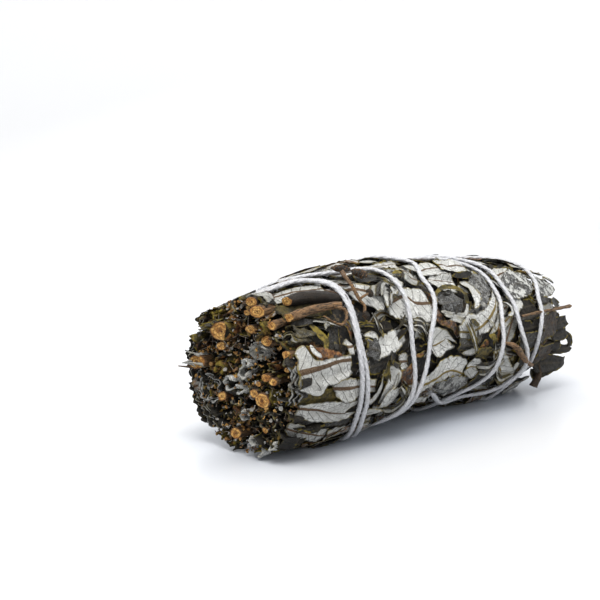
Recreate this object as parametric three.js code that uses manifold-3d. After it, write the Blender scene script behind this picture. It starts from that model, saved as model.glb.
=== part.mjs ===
// A smudge stick of dried yerba santa: leafy cuttings packed side by side into a roll, cut square at the
// stem end, and wound round and round with one length of soft cotton string.
// Millimetres, +Z up. The roll lies along X, with its cut stems at -X and its leaf tips at +X.
import * as THREE from "three";
import { mergeVertices } from "three/addons/utils/BufferGeometryUtils.js";
import Module from "manifold-3d";

const wasm = await Module();
wasm.setup();

// Driving dimensions
const CUT_X = -50; // the plane that the stem end is cut at
const PROFILE = [
  // place along the roll, radius of the packed leaves there
  [-50, 17.8], [-45, 18.7], [-38, 19.4], [-28, 19.4], [-14, 18.9], [0, 18.7],
  [12, 18.9], [22, 18.8], [30, 18.4], [38, 17.6], [44, 16.6], [50, 14.6], [60, 12.6],
];
const AXIS_HEIGHT = 17.3; // of the roll's middle line above the table, at both ends
const ARCH = { height: 2.3, x: -6, reach: 24 }; // the string pulls the middle up a little
const DENTS = { angles: [205, 335], depth: 0.13, width: 28 }; // flats on the stem end's far side
const ORIGIN = [1.4, 0.4, 0]; // middle of the whole object's box, taken off every place
const MM_PER_DEGREE = (19 * Math.PI) / 180; // along the roll's surface
const CLEARANCE = 0.3; // between neighbouring pieces

const SPRIGS = 5; // leafy cuttings round the middle one
const HEART_RADIUS = 7.4; // of the middle cutting's packed leaves
const PACKED_DEPTH = 2.2; // how far under the roll's surface the packed inner leaves end
const PACKED_X = [-46, 43]; // from where to where they reach
const PACKED_STATIONS = [
  // place along the roll, and how much further in the packed leaves end there
  [-46, 0.8], [-38, 0], [-28, 0], [-14, 0], [0, 0], [14, 0], [26, 0], [37, 0], [42, 1.4], [45.5, 5],
];
const BLADE = 0.75; // thickness of a leaf's margin
const ROOTED = 0.7; // how far a leaf reaches into the packed leaves of its own cutting
const ROOT_MARGIN = 1.2; // how far inside the packed leaves' ends it must be for that
const CROWN = 0.2; // how far a wide leaf's margins lie under its midrib
const TAPER = 0.45; // share of a leaf's length over which each end narrows
const SHARPEST = 0.12; // least share of the width at a pointed end
const LAYER = 0.5; // what each further layer of leaves adds
const LOWEST_LAYER = -1.2;
const LEAF_STEP = 5.4; // between the cross sections of a blade
const NARROW = 7.5; // a leaf wider than this rises to its midrib
const SCALLOP = 0.9; // every second cross section's share of the width

const HEART_STATIONS = [-45.5, -28, -12, 2, 16, 30, 43]; // places of the middle cutting's cross sections
const HEART_SIDES = 10;

const ROLLED = { thickness: 0.72, last: 0.9, waver: 0.25, squash: 0.86, rooted: 2.5, steps: 6.5 }; // leaf ends
const WOOD_SIDES = 6;
const STEM_TAPER = 0.85; // a stem's inner end over its cut end
const STEM_CLEAR = 1.5; // how far a stem's hole is open past its cut

const STRING_RADIUS = 0.72;
const STRING_LIFT = 0.55; // of the string's middle over the roll's surface
const STRING_SIDES = 6;
const STRING_STEP = 6.8;
const CROSSING_LIFT = 1.9; // of a turn where it lies on another
const CROSSING_GAP = 2; // how close to another turn the lift begins
const GROOVE_TOP = 2.4; // how far over the string's middle its groove is open
const GROOVE_END = 0.6; // how far the groove runs past the string's ends
const KNOT = { length: 4.6, width: 3.4, lift: 0.5 };
const TABLE = { length: 200, width: 100, depth: 20 };

const radians = (degrees) => (degrees * Math.PI) / 180;
const clamp = (v, low, high) => Math.min(high, Math.max(low, v));
const smooth = (t) => t * t * (3 - 2 * t);
const mix = (a, b, t) => a + (b - a) * t;
const turnBetween = (a, b) => ((((a - b + 180) % 360) + 360) % 360) - 180;
// A number from 0 to 1 that depends on nothing but the piece's number and which draw it is.
const draw = (piece, which) => {
  const v = Math.sin(piece * 12.9898 + which * 78.233) * 43758.5453;
  return v - Math.floor(v);
};

function profileRadius(x) {
  const last = PROFILE.length - 1;
  const at = clamp(x, PROFILE[0][0], PROFILE[last][0]);
  let i = 0;
  while (i < last - 1 && PROFILE[i + 1][0] < at) i++;
  const [[x0, r0], [x1, r1]] = [PROFILE[i], PROFILE[i + 1]];
  return mix(r0, r1, (at - x0) / (x1 - x0));
}

// The roll's surface: its radius at a place along it and an angle, from 0 on top towards -Y.
function surfaceRadius(x, angle) {
  const near = smooth(clamp((-30 - x) / 20, 0, 1));
  const dent = DENTS.angles.reduce(
    (sum, a) => sum + Math.exp(-((turnBetween(angle, a) / DENTS.width) ** 2)), 0);
  const a = radians(angle);
  const lumps = 0.35 * Math.cos(3 * a + 0.06 * x) + 0.3 * Math.cos(5 * a - 0.09 * x + 1);
  return profileRadius(x) * (1 - DENTS.depth * near * dent) + lumps;
}

const axisHeight = (x) => AXIS_HEIGHT + ARCH.height * Math.exp(-(((x - ARCH.x) / ARCH.reach) ** 2));

function place(x, angle, radius) {
  const a = radians(angle);
  return new THREE.Vector3(x, -radius * Math.sin(a), axisHeight(x) + radius * Math.cos(a));
}

const onRoll = (x, angle, lift) => place(x, angle, surfaceRadius(x, angle) + lift);

// Solids
function solidFrom(positions, triangles) {
  const make = (tri) => new wasm.Manifold(new wasm.Mesh({
    numProp: 3, vertProperties: new Float32Array(positions), triVerts: new Uint32Array(tri),
  }));
  const made = make(triangles);
  if (made.volume() > 0) return made;
  const turned = [];
  for (let i = 0; i < triangles.length; i += 3) turned.push(triangles[i], triangles[i + 2], triangles[i + 1]);
  return make(turned);
}

function solidOf(geometry) {
  const bare = geometry.index ? geometry.toNonIndexed() : geometry.clone();
  bare.deleteAttribute("normal");
  bare.deleteAttribute("uv");
  const merged = mergeVertices(bare, 1e-3);
  return solidFrom(merged.attributes.position.array, Array.from(merged.index.array));
}

function geometryOf(solid) {
  const mesh = solid.getMesh();
  const positions = Array.from(mesh.triVerts).flatMap((v) =>
    [0, 1, 2].map((k) => mesh.vertProperties[v * mesh.numProp + k]));
  const geometry = new THREE.BufferGeometry();
  geometry.setAttribute("position", new THREE.BufferAttribute(new Float32Array(positions), 3));
  return geometry;
}

// A solid's largest body. Loose scraps are dropped, and sealed hollows are filled.
function wholeOf(solid) {
  const bodies = solidOf(geometryOf(solid)).decompose();
  return geometryOf(bodies.sort((a, b) => b.volume() - a.volume())[0]);
}

// One closed body from rings of points, each ring joined to the next and the ends closed by a fan.
function solidOfRings(rings) {
  const around = rings[0].length;
  const positions = [];
  const triangles = [];
  rings.forEach((ring) => ring.forEach((p) => positions.push(p.x, p.y, p.z)));
  for (let i = 0; i < rings.length - 1; i++)
    for (let j = 0; j < around; j++) {
      const [a, b] = [i * around + j, i * around + ((j + 1) % around)];
      triangles.push(a, b, b + around, a, b + around, a + around);
    }
  [[0, true], [rings.length - 1, false]].forEach(([i, first]) => {
    const middle = positions.length / 3;
    const c = rings[i].reduce((sum, p) => sum.add(p), new THREE.Vector3()).divideScalar(around);
    positions.push(c.x, c.y, c.z);
    for (let j = 0; j < around; j++) {
      const [a, b] = [i * around + j, i * around + ((j + 1) % around)];
      triangles.push(...(first ? [middle, b, a] : [middle, a, b]));
    }
  });
  return solidFrom(positions, triangles);
}

// A round tube along points, with one radius for each point.
function tubeSolid(points, radii, sides) {
  const rings = points.map((p, i) => {
    const before = points[Math.max(0, i - 1)];
    const after = points[Math.min(points.length - 1, i + 1)];
    const along = after.clone().sub(before).normalize();
    const side = new THREE.Vector3(0, 0, 1).cross(along);
    if (side.length() < 0.2) side.set(0, 1, 0).cross(along);
    side.normalize();
    const up = along.clone().cross(side);
    return Array.from({ length: sides }, (_, k) => {
      const a = (2 * Math.PI * k) / sides;
      return p.clone().addScaledVector(side, radii[i] * Math.cos(a)).addScaledVector(up, radii[i] * Math.sin(a));
    });
  });
  return solidOfRings(rings);
}

// Leaves. A leaf's midrib runs through three places on the roll, each a distance along it and an angle.
function ribPoint(leaf, s) {
  const [x0, a0, x1, a1, x2, a2] = leaf.rib;
  const [p, q, r] = [2 * (s - 0.5) * (s - 1), -4 * s * (s - 1), 2 * s * (s - 0.5)];
  return new THREE.Vector2(p * x0 + q * x1 + r * x2, (p * a0 + q * a1 + r * a2) * MM_PER_DEGREE);
}

const ribLength = (leaf) =>
  ribPoint(leaf, 0).distanceTo(ribPoint(leaf, 0.5)) + ribPoint(leaf, 0.5).distanceTo(ribPoint(leaf, 1));

// A leaf's half width along it, as a share: an end is pointed (near 0), or cut or hidden (near 1).
function outline(leaf, s) {
  const [start, end] = leaf.ends;
  const rise = Math.sqrt(1 - (1 - clamp(s / TAPER, 0, 1)) ** 2);
  const fall = Math.sqrt(1 - (1 - clamp((1 - s) / TAPER, 0, 1)) ** 2);
  return Math.max(SHARPEST, mix(start, 1, rise) * mix(end, 1, fall));
}

// The leaf's blade. Over the packed leaves of its own cutting it is rooted in them, and past their ends
// it is a thin blade that stands free. One that lies alone is thin all along.
function leafSolid(leaf, grow) {
  const steps = clamp(Math.round(ribLength(leaf) / LEAF_STEP), 3, 5);
  const lift = LOWEST_LAYER + LAYER * leaf.layer;
  const rings = [];
  for (let i = 0; i <= steps; i++) {
    const s = i / steps;
    const along = ribPoint(leaf, Math.min(1, s + 0.05)).sub(ribPoint(leaf, Math.max(0, s - 0.05))).normalize();
    const rib = ribPoint(leaf, s);
    const middle = rib.clone().addScaledVector(along, i === 0 ? -grow : i === steps ? grow : 0);
    const half = (leaf.width / 2) * outline(leaf, s) * (i % 2 ? 1 : SCALLOP);
    const free = leaf.flare * smooth(s);
    const corner = (side, under) => {
      const x = middle.x - side * (half + grow) * along.y;
      const angle = (middle.y + side * (half + grow) * along.x) / MM_PER_DEGREE;
      const surface = surfaceRadius(x, angle);
      const top = surface + lift + free - (side === 0 ? 0 : CROWN);
      const edge = rib.x - side * half * along.y;
      const packed = !leaf.alone && edge > PACKED_X[0] + ROOT_MARGIN && edge < PACKED_X[1] - ROOT_MARGIN;
      const bottom = packed ? Math.min(surface - PACKED_DEPTH - ROOTED, top - BLADE) : top - BLADE;
      return place(x, angle, under ? bottom - grow : top + grow);
    };
    const crest = leaf.width > NARROW ? [corner(0, false)] : [];
    rings.push([corner(-1, false), ...crest, corner(1, false), corner(1, true), corner(-1, true)]);
  }
  return solidOfRings(rings);
}

// Leaves seen on the roll's near side: midrib, width, layer, ends and face.
// P is a pale felted underside and D a dark upper side.
const NEAR_LEAVES = [
  // stem end
  [-51, 80, -43, 79.5, -34, 82, 8.4, 4, [0.9, 0.7], "P"],
  [-47.5, 71, -42, 74, -35, 75, 4.2, 5, [0.7, 0.4], "D"],
  [-42.8, 58, -40, 65, -36, 73, 6, 4, [0.9, 0.8], "D"],
  [-44, 24, -38, 28, -29, 33, 5.6, 4, [0.1, 0.7], "P"],
  [-51, 57, -47, 58, -42, 60, 5, 3, [0.9, 0.3], "D"],
  [-50, 107, -41, 114, -33, 121, 9, 4, [0.5, 0.7], "P"],
  [-41, 95, -36, 98, -28, 101, 5.4, 3, [0.2, 0.8], "P"],
  [-48, 124, -43, 132, -37, 143, 6, 3, [0.8, 0.6], "P"],
  [-38, 134, -32, 140, -23, 147, 7, 3, [0.3, 0.4], "P"],
  [-51, 36, -44, 34, -34, 40, 7, 1, [0.9, 0.8], "D"],
  // between the first turns of string
  [-31, 29, -24, 36, -16, 43, 8, 3, [0.5, 0.6], "P"],
  [-21, 47, -11, 53, -1, 53, 9.6, 2, [0.6, 0.8], "P"],
  [-7, 36, -13, 42, -21, 55, 4.6, 4, [0.8, 0.15], "P"],
  [-19, 26, -12, 25, -5, 27, 5.5, 2, [0.6, 0.6], "D"],
  [-29, 78, -22, 77, -14, 76, 4.6, 3, [0.6, 0.6], "P"],
  [-31, 88, -23, 88, -15, 90, 6.5, 2, [0.8, 0.6], "D"],
  [-23.5, 91, -24.5, 103, -28, 118, 5, 4, [0.1, 0.7], "P"],
  [-20, 112, -22.5, 121, -28, 131, 6, 3, [0.8, 0.5], "P"],
  [-33, 60, -27, 62, -20, 66, 6, 1, [0.7, 0.7], "D"],
  // middle
  [-8.5, 82, -4, 85, 2, 89, 6.4, 3, [0.8, 0.7], "P"],
  [-13, 122, -4, 113, 7, 106, 8, 4, [0.3, 0.7], "P"],
  [0, 19, 4, 33, 7, 49, 8, 3, [0.7, 0.7], "P"],
  [8, 24, 14, 24, 23, 23, 5, 4, [0.5, 0.7], "P"],
  [-2.5, 60, 2, 58, 7, 60, 5, 4, [0.5, 0.4], "D"],
  [13, 33, 18, 47, 9, 67, 6, 4, [0.4, 0.2], "D"],
  [22, 44, 18, 66, 0, 79, 7.5, 3, [0.2, 0.5], "P"],
  [-2, 121, 5, 124, 14, 128, 6.5, 3, [0.3, 0.5], "D"],
  [6, 110, 10, 116, 13, 124, 5, 4, [0.6, 0.5], "P"],
  // towards the leaf tips
  [18, 94, 21.5, 108, 24, 126, 6.4, 4, [0.2, 0.4], "P"],
  [23, 27, 28, 32, 31, 43, 5.6, 3, [0.5, 0.6], "P"],
  [30, 19, 35, 27, 41, 34, 6, 4, [0.5, 0.5], "P"],
  [27, 38, 33, 45, 38, 55, 8.6, 2, [0.5, 0.7], "D"],
  [23, 82, 30, 85, 38, 88, 7.4, 2, [0.7, 0.7], "D"],
  [28, 112, 34, 114, 41, 116, 6.5, 2, [0.6, 0.6], "D"],
  [37, 80, 44, 84, 51, 88, 9, 4, [0.6, 0.35], "D"],
  [37, 105, 44, 109, 50, 113, 8, 4, [0.6, 0.35], "D"],
  [36, 122, 42, 128, 48, 133, 7, 3, [0.6, 0.4], "D"],
  [39, 62, 45, 63, 51, 62, 6, 3, [0.5, 0.3], "D"],
  [40, 44, 46, 46, 52, 50, 7, 4, [0.7, 0.3], "D"],
  [14, 2, 24, 1, 36, 3, 6.4, 3, [0.4, 0.5], "P"],
  [-10, 1, 0, 2, 11, 4, 6, 3, [0.4, 0.5], "P"],
];
// Tips that stand off the roll at the far end: how far they rise is added last.
const LOOSE_TIPS = [
  [33, 2, 41, 5, 49, 9, 5.4, 5, [0.6, 0.1], "P", 1.6],
  [37, 17, 45, 22, 53, 28, 5.4, 5, [0.6, 0.1], "P", 1.4],
  [42, 96, 49, 97, 56, 99, 4, 3, [0.7, 0.4], "D", 2],
  [41, 70, 47, 72, 53, 76, 5, 3, [0.7, 0.4], "D", 0.6],
  [38, 128, 42, 138, 41, 150, 5, 3, [0.6, 0.5], "D", 1],
];

// The far side and the underside follow a rule: leaves lie mostly along the roll, lap over each other in
// staggered rows, and about one in four shows its dark upper side.
const FAR_LEAVES = { rows: 6, columns: 4, from: 152, to: 352, low: -38, high: 40 };

// Inner leaves that show past the packed ones at the two ends of the roll. A layer below 0 lies deep.
const INNER_ENDS = [
  [-51, 66, -47, 66, -43, 66, 9, -9, [0.9, 0.9], "P"],
  [-50, 108, -47, 108, -43, 108, 9, -13, [0.8, 0.9], "P"],
  [-50.5, 28, -47, 28, -43, 28, 8, -14, [0.9, 0.9], "P"],
  [-51, 150, -47, 150, -43, 150, 8, -10, [0.8, 0.9], "P"],
  [-50.5, 262, -47, 262, -43, 262, 9, -9, [0.9, 0.9], "P"],
  [-50, 338, -47, 338, -43, 338, 8, -11, [0.8, 0.9], "P"],
  [37, 40, 44, 44, 50, 48, 11, -7, [0.9, 0.2], "P"],
  [37, 98, 44, 96, 51, 98, 11, -9, [0.9, 0.2], "P"],
  [37, 150, 44, 154, 49, 158, 11, -8, [0.9, 0.2], "P"],
  [37, 210, 44, 206, 50, 204, 12, -10, [0.9, 0.2], "P"],
  [37, 280, 44, 284, 51, 282, 12, -8, [0.9, 0.2], "P"],
  [37, 345, 44, 341, 50, 340, 12, -11, [0.9, 0.2], "P"],
];

function leafRow(row) {
  const [x0, a0, x1, a1, x2, a2, width, layer, ends, face, flare] = row;
  return { rib: [x0, a0, x1, a1, x2, a2], width, layer, ends, face, flare: flare ?? 0 };
}

function farLeaves() {
  const { rows, columns, from, to, low, high } = FAR_LEAVES;
  const made = [];
  for (let i = 0; i < rows; i++)
    for (let j = 0; j < columns; j++) {
      const n = i * columns + j;
      const angle = mix(from, to, (i + 0.5) / rows) + 16 * (draw(n, 1) - 0.5);
      const x = mix(low, high, (j + 0.5 * (i % 2) + 0.25) / (columns - 0.25)) + 5 * (draw(n, 2) - 0.5);
      const length = 19 + 6 * draw(n, 3);
      const heading = radians(80 * (draw(n, 4) - 0.5));
      const bend = 5 * (draw(n, 5) - 0.5);
      const [du, dv] = [Math.cos(heading) * length * 0.5, (Math.sin(heading) * length * 0.5) / MM_PER_DEGREE];
      made.push({
        rib: [x - du, angle - dv, x + bend * Math.sin(heading),
          angle + (bend * Math.cos(heading)) / MM_PER_DEGREE, x + du, angle + dv],
        width: 7.5 + 3 * draw(n, 6),
        layer: 1 + 3 * ((n * 5) % 7) / 6,
        ends: [0.35, 0.12 + 0.3 * draw(n, 7)],
        face: draw(n, 8) < 0.26 ? "D" : "P",
        flare: 0,
      });
    }
  return made;
}

// The pieces' solids by name. A new piece is cut out of all others, with some clearance, before it is joined.
const nodes = new Map();
const boxesMeet = (a, b) => {
  const [p, q] = [a.boundingBox(), b.boundingBox()];
  return [0, 1, 2].every((k) => p.min[k] <= q.max[k] && q.min[k] <= p.max[k]);
};
function join(name, solid, room) {
  for (const [other, there] of nodes)
    if (other !== name && boxesMeet(there, room)) nodes.set(other, there.subtract(room));
  nodes.set(name, nodes.has(name) ? nodes.get(name).add(solid) : solid);
}

// The packed inner leaves of each cutting: a wedge of the roll, and a round one in the middle.
const sprigAngle = (k) => (360 / SPRIGS) * (k + 0.5);
const sprigName = (k) => `sprig_${k + 1}_leaves`;
const sprigAt = (angle) => Math.floor((((angle % 360) + 360) % 360) / (360 / SPRIGS));
function wedgeSolid(k) {
  const inner = HEART_RADIUS + 1.5 * CLEARANCE;
  const half = 180 / SPRIGS;
  const middle = sprigAngle(k);
  const gapAt = (radius) => ((CLEARANCE * 2) / 3 / radius) * (180 / Math.PI);
  return solidOfRings(PACKED_STATIONS.map(([x, sunk]) => {
    const outerAt = (a) => surfaceRadius(x, a) - PACKED_DEPTH - sunk;
    const outerHalf = half - gapAt(outerAt(middle));
    const outer = [-1, -0.5, 0, 0.5, 1].map((t) => middle + t * outerHalf);
    return [
      ...outer.map((a) => place(x, a, outerAt(a))),
      ...[1, 0, -1].map((t) => place(x, middle + t * (half - gapAt(inner)), inner)),
    ];
  }));
}

function heartSolid() {
  return solidOfRings(HEART_STATIONS.map((x) =>
    Array.from({ length: HEART_SIDES }, (_, i) => place(x, (360 / HEART_SIDES) * i, HEART_RADIUS))));
}

// Rolled and crumpled leaf ends that stand out of the cut end: distance and angle from the middle line,
// radius of the roll, turns, how far it stands out and where its winding starts.
const ROLLED_ENDS = [
  [11.6, 243, 4.6, 2.1, 4.4, 30],
  [13.2, 308, 3.6, 1.7, 4.6, 200],
  [2.2, 350, 3.4, 1.6, 4, 90],
  [6.4, 195, 2.6, 1.3, 3.6, 150],
  [13.6, 125, 3.2, 1.6, 3.8, 10],
  [14.2, 352, 2.4, 1.2, 3.4, 60],
];
function rollSolid([distance, angle, radius, turns, out, start], grow) {
  const steps = Math.round(turns * ROLLED.steps);
  const [outer, inner] = [[], []];
  for (let i = 0; i <= steps; i++) {
    const t = i / steps;
    const a = radians(start + 360 * turns * t);
    const r = mix(radius, ROLLED.last, t) + ROLLED.waver * Math.sin(3 * a + distance);
    const half = ROLLED.thickness / 2 + grow;
    const spot = (reach) => new THREE.Vector2(reach * Math.cos(a), reach * Math.sin(a) * ROLLED.squash);
    outer.push(spot(r + half));
    inner.push(spot(r - half));
  }
  const shape = new THREE.Shape([...outer, ...inner.reverse()]);
  const depth = out + ROLLED.rooted + 2 * grow;
  const geometry = new THREE.ExtrudeGeometry(shape, { depth, bevelEnabled: false });
  geometry.applyMatrix4(new THREE.Matrix4().makeBasis(
    new THREE.Vector3(0, 1, 0), new THREE.Vector3(0, 0, 1), new THREE.Vector3(1, 0, 0)));
  const at = place(PACKED_X[0] - out, angle, distance);
  geometry.translate(at.x - grow, at.y, at.z);
  return solidOf(geometry);
}

// Woody stems at the cut end: distance and angle from the middle line, diameter, how far the cut stands
// out past the cut plane, and how long the stem is.
const STEMS = [
  [10.3, 332, 3.9, 1.2, 46], [8, 316, 1.9, 0.8, 22], [17, 14, 2.1, 0.6, 26], [16.2, 24, 2.6, 1.2, 30],
  [11.2, 19, 1.9, 0.6, 34], [14, 8, 1.3, 0, 18], [12.3, 45, 2.1, 0.6, 28], [16.2, 41, 1.8, 0.8, 24],
  [16.3, 66, 1.8, 0.8, 24], [14.5, 77, 1.1, 0, 18], [8.8, 84, 1.7, 0.8, 22], [10.9, 88, 1.7, 0.8, 22],
  [5.8, 100, 1.1, 0.2, 20], [5.9, 122, 1.8, 0.8, 26], [8.9, 117, 3.2, 1.2, 42], [7.9, 226, 2, 0.6, 28],
  [13.2, 275, 3.4, 1.4, 26], [13, 185, 2.4, 0.6, 20], [13.3, 143, 1.3, 0.4, 20], [14.5, 260, 1.5, 0.4, 18],
];
function stemParts([distance, angle, diameter, out, length], grow) {
  const radius = diameter / 2 + grow;
  const from = CUT_X - out - (grow ? STEM_CLEAR : 0);
  const points = [from, CUT_X + length + grow].map((x) => place(x, angle, distance));
  return tubeSolid(points, [radius, radius * STEM_TAPER], WOOD_SIDES);
}

// Twigs that lie on the roll: points along the roll, angle and lift, then the diameter at each end.
const TWIGS = {
  hooked_twig: [
    [[-49, 43, 0.6], [-44, 43.5, 0.9], [-38, 45, 0.9], [-33, 46.5, 0.6], [-33.5, 50, 0.5], [-36, 54, 0.7]], 2, 1,
  ],
  dark_twig: [[[-44.5, 30, 0.4], [-41, 31, 0.6], [-36, 34, 0.4], [-30, 38, 0]], 2.5, 2.2],
  flower_stalk: [[[-24, 13, 0.9], [-26, 26, 1], [-27, 36, 0.8], [-27, 44, 0.4], [-28.5, 54, 0.2]], 1.2, 0.9],
  far_twig: [[[26, 73, 0.2], [34, 71, 0.8], [44, 70, 1.2], [54.5, 69, 1.8]], 0.9, 1.2],
  bark_strip: [[[17, 90, 0.3], [21.5, 94, 0.5], [26, 103, -1], [30, 110, -1.2], [34, 115, 0]], 2, 1.6],
};
function twigSolid([points, first, last], grow) {
  const along = points.map(([x, angle, lift]) => onRoll(x, angle, lift));
  const curve = new THREE.CatmullRomCurve3(along);
  const count = points.length * 2 - 1;
  const spots = curve.getPoints(count - 1);
  return tubeSolid(spots, spots.map((_, i) => mix(first, last, i / (count - 1)) / 2 + grow), WOOD_SIDES);
}

// The string's way round the roll: places along it and angles that keep counting up with each turn.
const STRING_WAY = [
  [-43, -100], [-45, -70], [-45.4, -35], [-44, -5], [-43.5, 3], [-41, 7], [-35, 10], [-30.5, 17], [-29.3, 27],
  [-29.6, 40], [-30.2, 52], [-30.8, 66], [-30.6, 80], [-30, 94], [-29.6, 103], [-29, 114], [-28.5, 127],
  [-26, 145], [-23, 165], [-22, 185], [-26, 225], [-33, 265], [-40, 305], [-45, 335],
  [-46.4, 355], [-46, 363], [-43.5, 369], [-37, 372], [-32.8, 380], [-31.4, 389], [-31.6, 400], [-32.1, 412],
  [-32.7, 426], [-32.6, 440], [-32, 454], [-31.7, 463], [-31.1, 474], [-30.6, 487], [-28.6, 505],
  [-26.5, 525], [-26, 545], [-28, 585], [-31, 625], [-34, 665], [-36, 700], [-34.8, 716],
  [-30, 722], [-25, 724], [-18, 727], [-14.8, 737], [-14.2, 747], [-14, 760], [-14.4, 775], [-15.2, 790],
  [-15.3, 805], [-14.9, 817], [-14.8, 829], [-15.2, 839], [-16.8, 850], [-19.2, 862], [-21, 885],
  [-19.5, 905], [-14, 945], [-9, 990], [-5, 1035], [-1.5, 1070],
  [1, 1080], [3.2, 1089], [1.2, 1100], [-1.8, 1113], [-2.5, 1124], [-3.5, 1134], [-5, 1142], [-6.8, 1151],
  [-8.3, 1158], [-9, 1165], [-9.8, 1175], [-10.6, 1183], [-11.7, 1191], [-13, 1200], [-14.8, 1211],
  [-17.2, 1223], [-18.6, 1240], [-17, 1262], [-11, 1300], [-3, 1345], [6, 1390], [12, 1425],
  [14, 1440], [18, 1450], [22.3, 1459], [24, 1467], [24, 1477], [23.5, 1484], [23, 1491], [22.3, 1498],
  [20.5, 1506], [18.7, 1514], [17.7, 1522], [17.2, 1531], [16.7, 1539], [16.4, 1547], [15.6, 1555],
  [14, 1561], [12, 1569], [9.5, 1576], [6, 1595], [4.5, 1620], [8, 1660], [13, 1700], [19, 1745], [24, 1778],
  [30, 1791], [37, 1799], [41.5, 1808], [43.2, 1817], [43, 1826], [42, 1835], [41, 1845], [39, 1853],
  [37, 1860], [36.2, 1867], [35.4, 1874], [34.5, 1880], [34, 1889], [34, 1898], [34.5, 1909], [34.8, 1916],
  [33.8, 1922], [31.5, 1929], [29.5, 1936], [27, 1950], [24, 1975], [22, 2000], [20, 2050], [18, 2100],
  [16, 2140], [16.6, 2160], [20.4, 2169], [24.4, 2178], [26.2, 2187], [26.2, 2197], [25.8, 2207],
  [25.8, 2214], [26.2, 2221], [25.8, 2228], [25.4, 2237], [25.8, 2247], [26.5, 2253], [27.5, 2259],
  [28, 2266], [28.4, 2273], [28, 2279], [26.5, 2286], [24.6, 2294], [21.5, 2300], [16, 2305], [10, 2308],
  [5, 2307], [1.5, 2299], [-2, 2291], [-4.5, 2286],
];

// The string's middle line in even steps, lifted where it crosses or lies on an earlier turn.
function stringSpots() {
  const unrolled = new THREE.CatmullRomCurve3(
    STRING_WAY.map(([x, angle]) => new THREE.Vector3(x, angle * MM_PER_DEGREE, 0)));
  unrolled.arcLengthDivisions = 2000;
  const spots = unrolled.getSpacedPoints(Math.round(unrolled.getLength() / STRING_STEP));
  return spots.map((p) => [p.x, p.y / MM_PER_DEGREE]);
}

function crossingLifts(spots) {
  const reach = 2 * STRING_RADIUS + CROSSING_GAP;
  const raw = spots.map(([x, angle], i) => {
    let lift = 0;
    for (let j = 0; j < i - 1; j++) {
      const [xa, aa] = spots[j];
      const [xb, ab] = spots[j + 1];
      if (Math.abs(angle - aa) < 100 && i - j < 9) continue;
      const to = new THREE.Vector2(x - xa, turnBetween(angle, aa) * MM_PER_DEGREE);
      const side = new THREE.Vector2(xb - xa, (ab - aa) * MM_PER_DEGREE);
      const t = clamp(to.dot(side) / side.lengthSq(), 0, 1);
      const gap = to.addScaledVector(side, -t).length();
      if (gap < reach) lift = Math.max(lift, CROSSING_LIFT * smooth(1 - gap / reach));
    }
    return lift;
  });
  return raw.map((v, i) => Math.max(v, 0.5 * (raw[i - 1] ?? 0), 0.5 * (raw[i + 1] ?? 0)));
}

function stringPoints() {
  const spots = stringSpots();
  const lifts = crossingLifts(spots);
  return spots.map(([x, angle], i) => {
    const p = onRoll(x, angle, STRING_LIFT + lifts[i]);
    p.z = Math.max(p.z, STRING_RADIUS + 0.02 + lifts[i]);
    return p;
  });
}

function stringSolid(points) {
  const section = new THREE.Shape(Array.from({ length: STRING_SIDES }, (_, k) => {
    const a = (2 * Math.PI * k) / STRING_SIDES;
    return new THREE.Vector2(STRING_RADIUS * Math.cos(a), STRING_RADIUS * Math.sin(a));
  }));
  const path = new THREE.CatmullRomCurve3(points);
  path.arcLengthDivisions = 2000;
  return solidOf(new THREE.ExtrudeGeometry(section, {
    extrudePath: path, steps: points.length - 1, bevelEnabled: false,
  }));
}

// The groove that the string presses into the leaves: a channel along the same way, like a V in section.
function grooveSolid(points) {
  const apex = (STRING_RADIUS + CLEARANCE + 0.05) * Math.SQRT2;
  const section = [[0, -apex], [apex + GROOVE_TOP, GROOVE_TOP], [-apex - GROOVE_TOP, GROOVE_TOP]];
  const path = new THREE.CatmullRomCurve3(points);
  path.arcLengthDivisions = 2000;
  const spaced = path.getSpacedPoints(points.length - 1);
  const rings = spaced.map((p, i) => {
    const along = path.getTangentAt(i / (spaced.length - 1));
    const out = new THREE.Vector3(0, p.y, p.z - axisHeight(p.x)).normalize();
    const across = along.clone().cross(out).normalize();
    const extra = i === 0 ? -1 : i === spaced.length - 1 ? 1 : 0;
    const middle = p.clone().addScaledVector(along, extra * GROOVE_END);
    return section.map(([u, v]) => middle.clone().addScaledVector(across, u).addScaledVector(out, v));
  });
  return solidOfRings(rings);
}

function knotSolid(grow) {
  const knot = new THREE.SphereGeometry(1, 10, 6);
  knot.scale(KNOT.length / 2 + grow, KNOT.width / 2 + grow, KNOT.width / 2 + grow);
  const [x, angle] = STRING_WAY[0];
  const at = onRoll(x, angle, STRING_LIFT + KNOT.lift);
  knot.translate(at.x, at.y, at.z);
  return solidOf(knot);
}

// Build
const materials = {
  pale: new THREE.MeshStandardMaterial({ color: 0xa9aba3, roughness: 0.9, metalness: 0 }),
  dark: new THREE.MeshStandardMaterial({ color: 0x2b2923, roughness: 0.75, metalness: 0 }),
  heart: new THREE.MeshStandardMaterial({ color: 0x4c463a, roughness: 0.9, metalness: 0 }),
  wood: new THREE.MeshStandardMaterial({ color: 0x8a5a2e, roughness: 0.8, metalness: 0 }),
  cotton: new THREE.MeshStandardMaterial({ color: 0xe4e4e6, roughness: 0.95, metalness: 0 }),
};
const finish = new Map();
for (let k = 0; k < SPRIGS; k++) {
  nodes.set(sprigName(k), wedgeSolid(k));
  finish.set(sprigName(k), materials.pale);
}
nodes.set("heart_leaves", heartSolid());
finish.set("heart_leaves", materials.heart);

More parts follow.
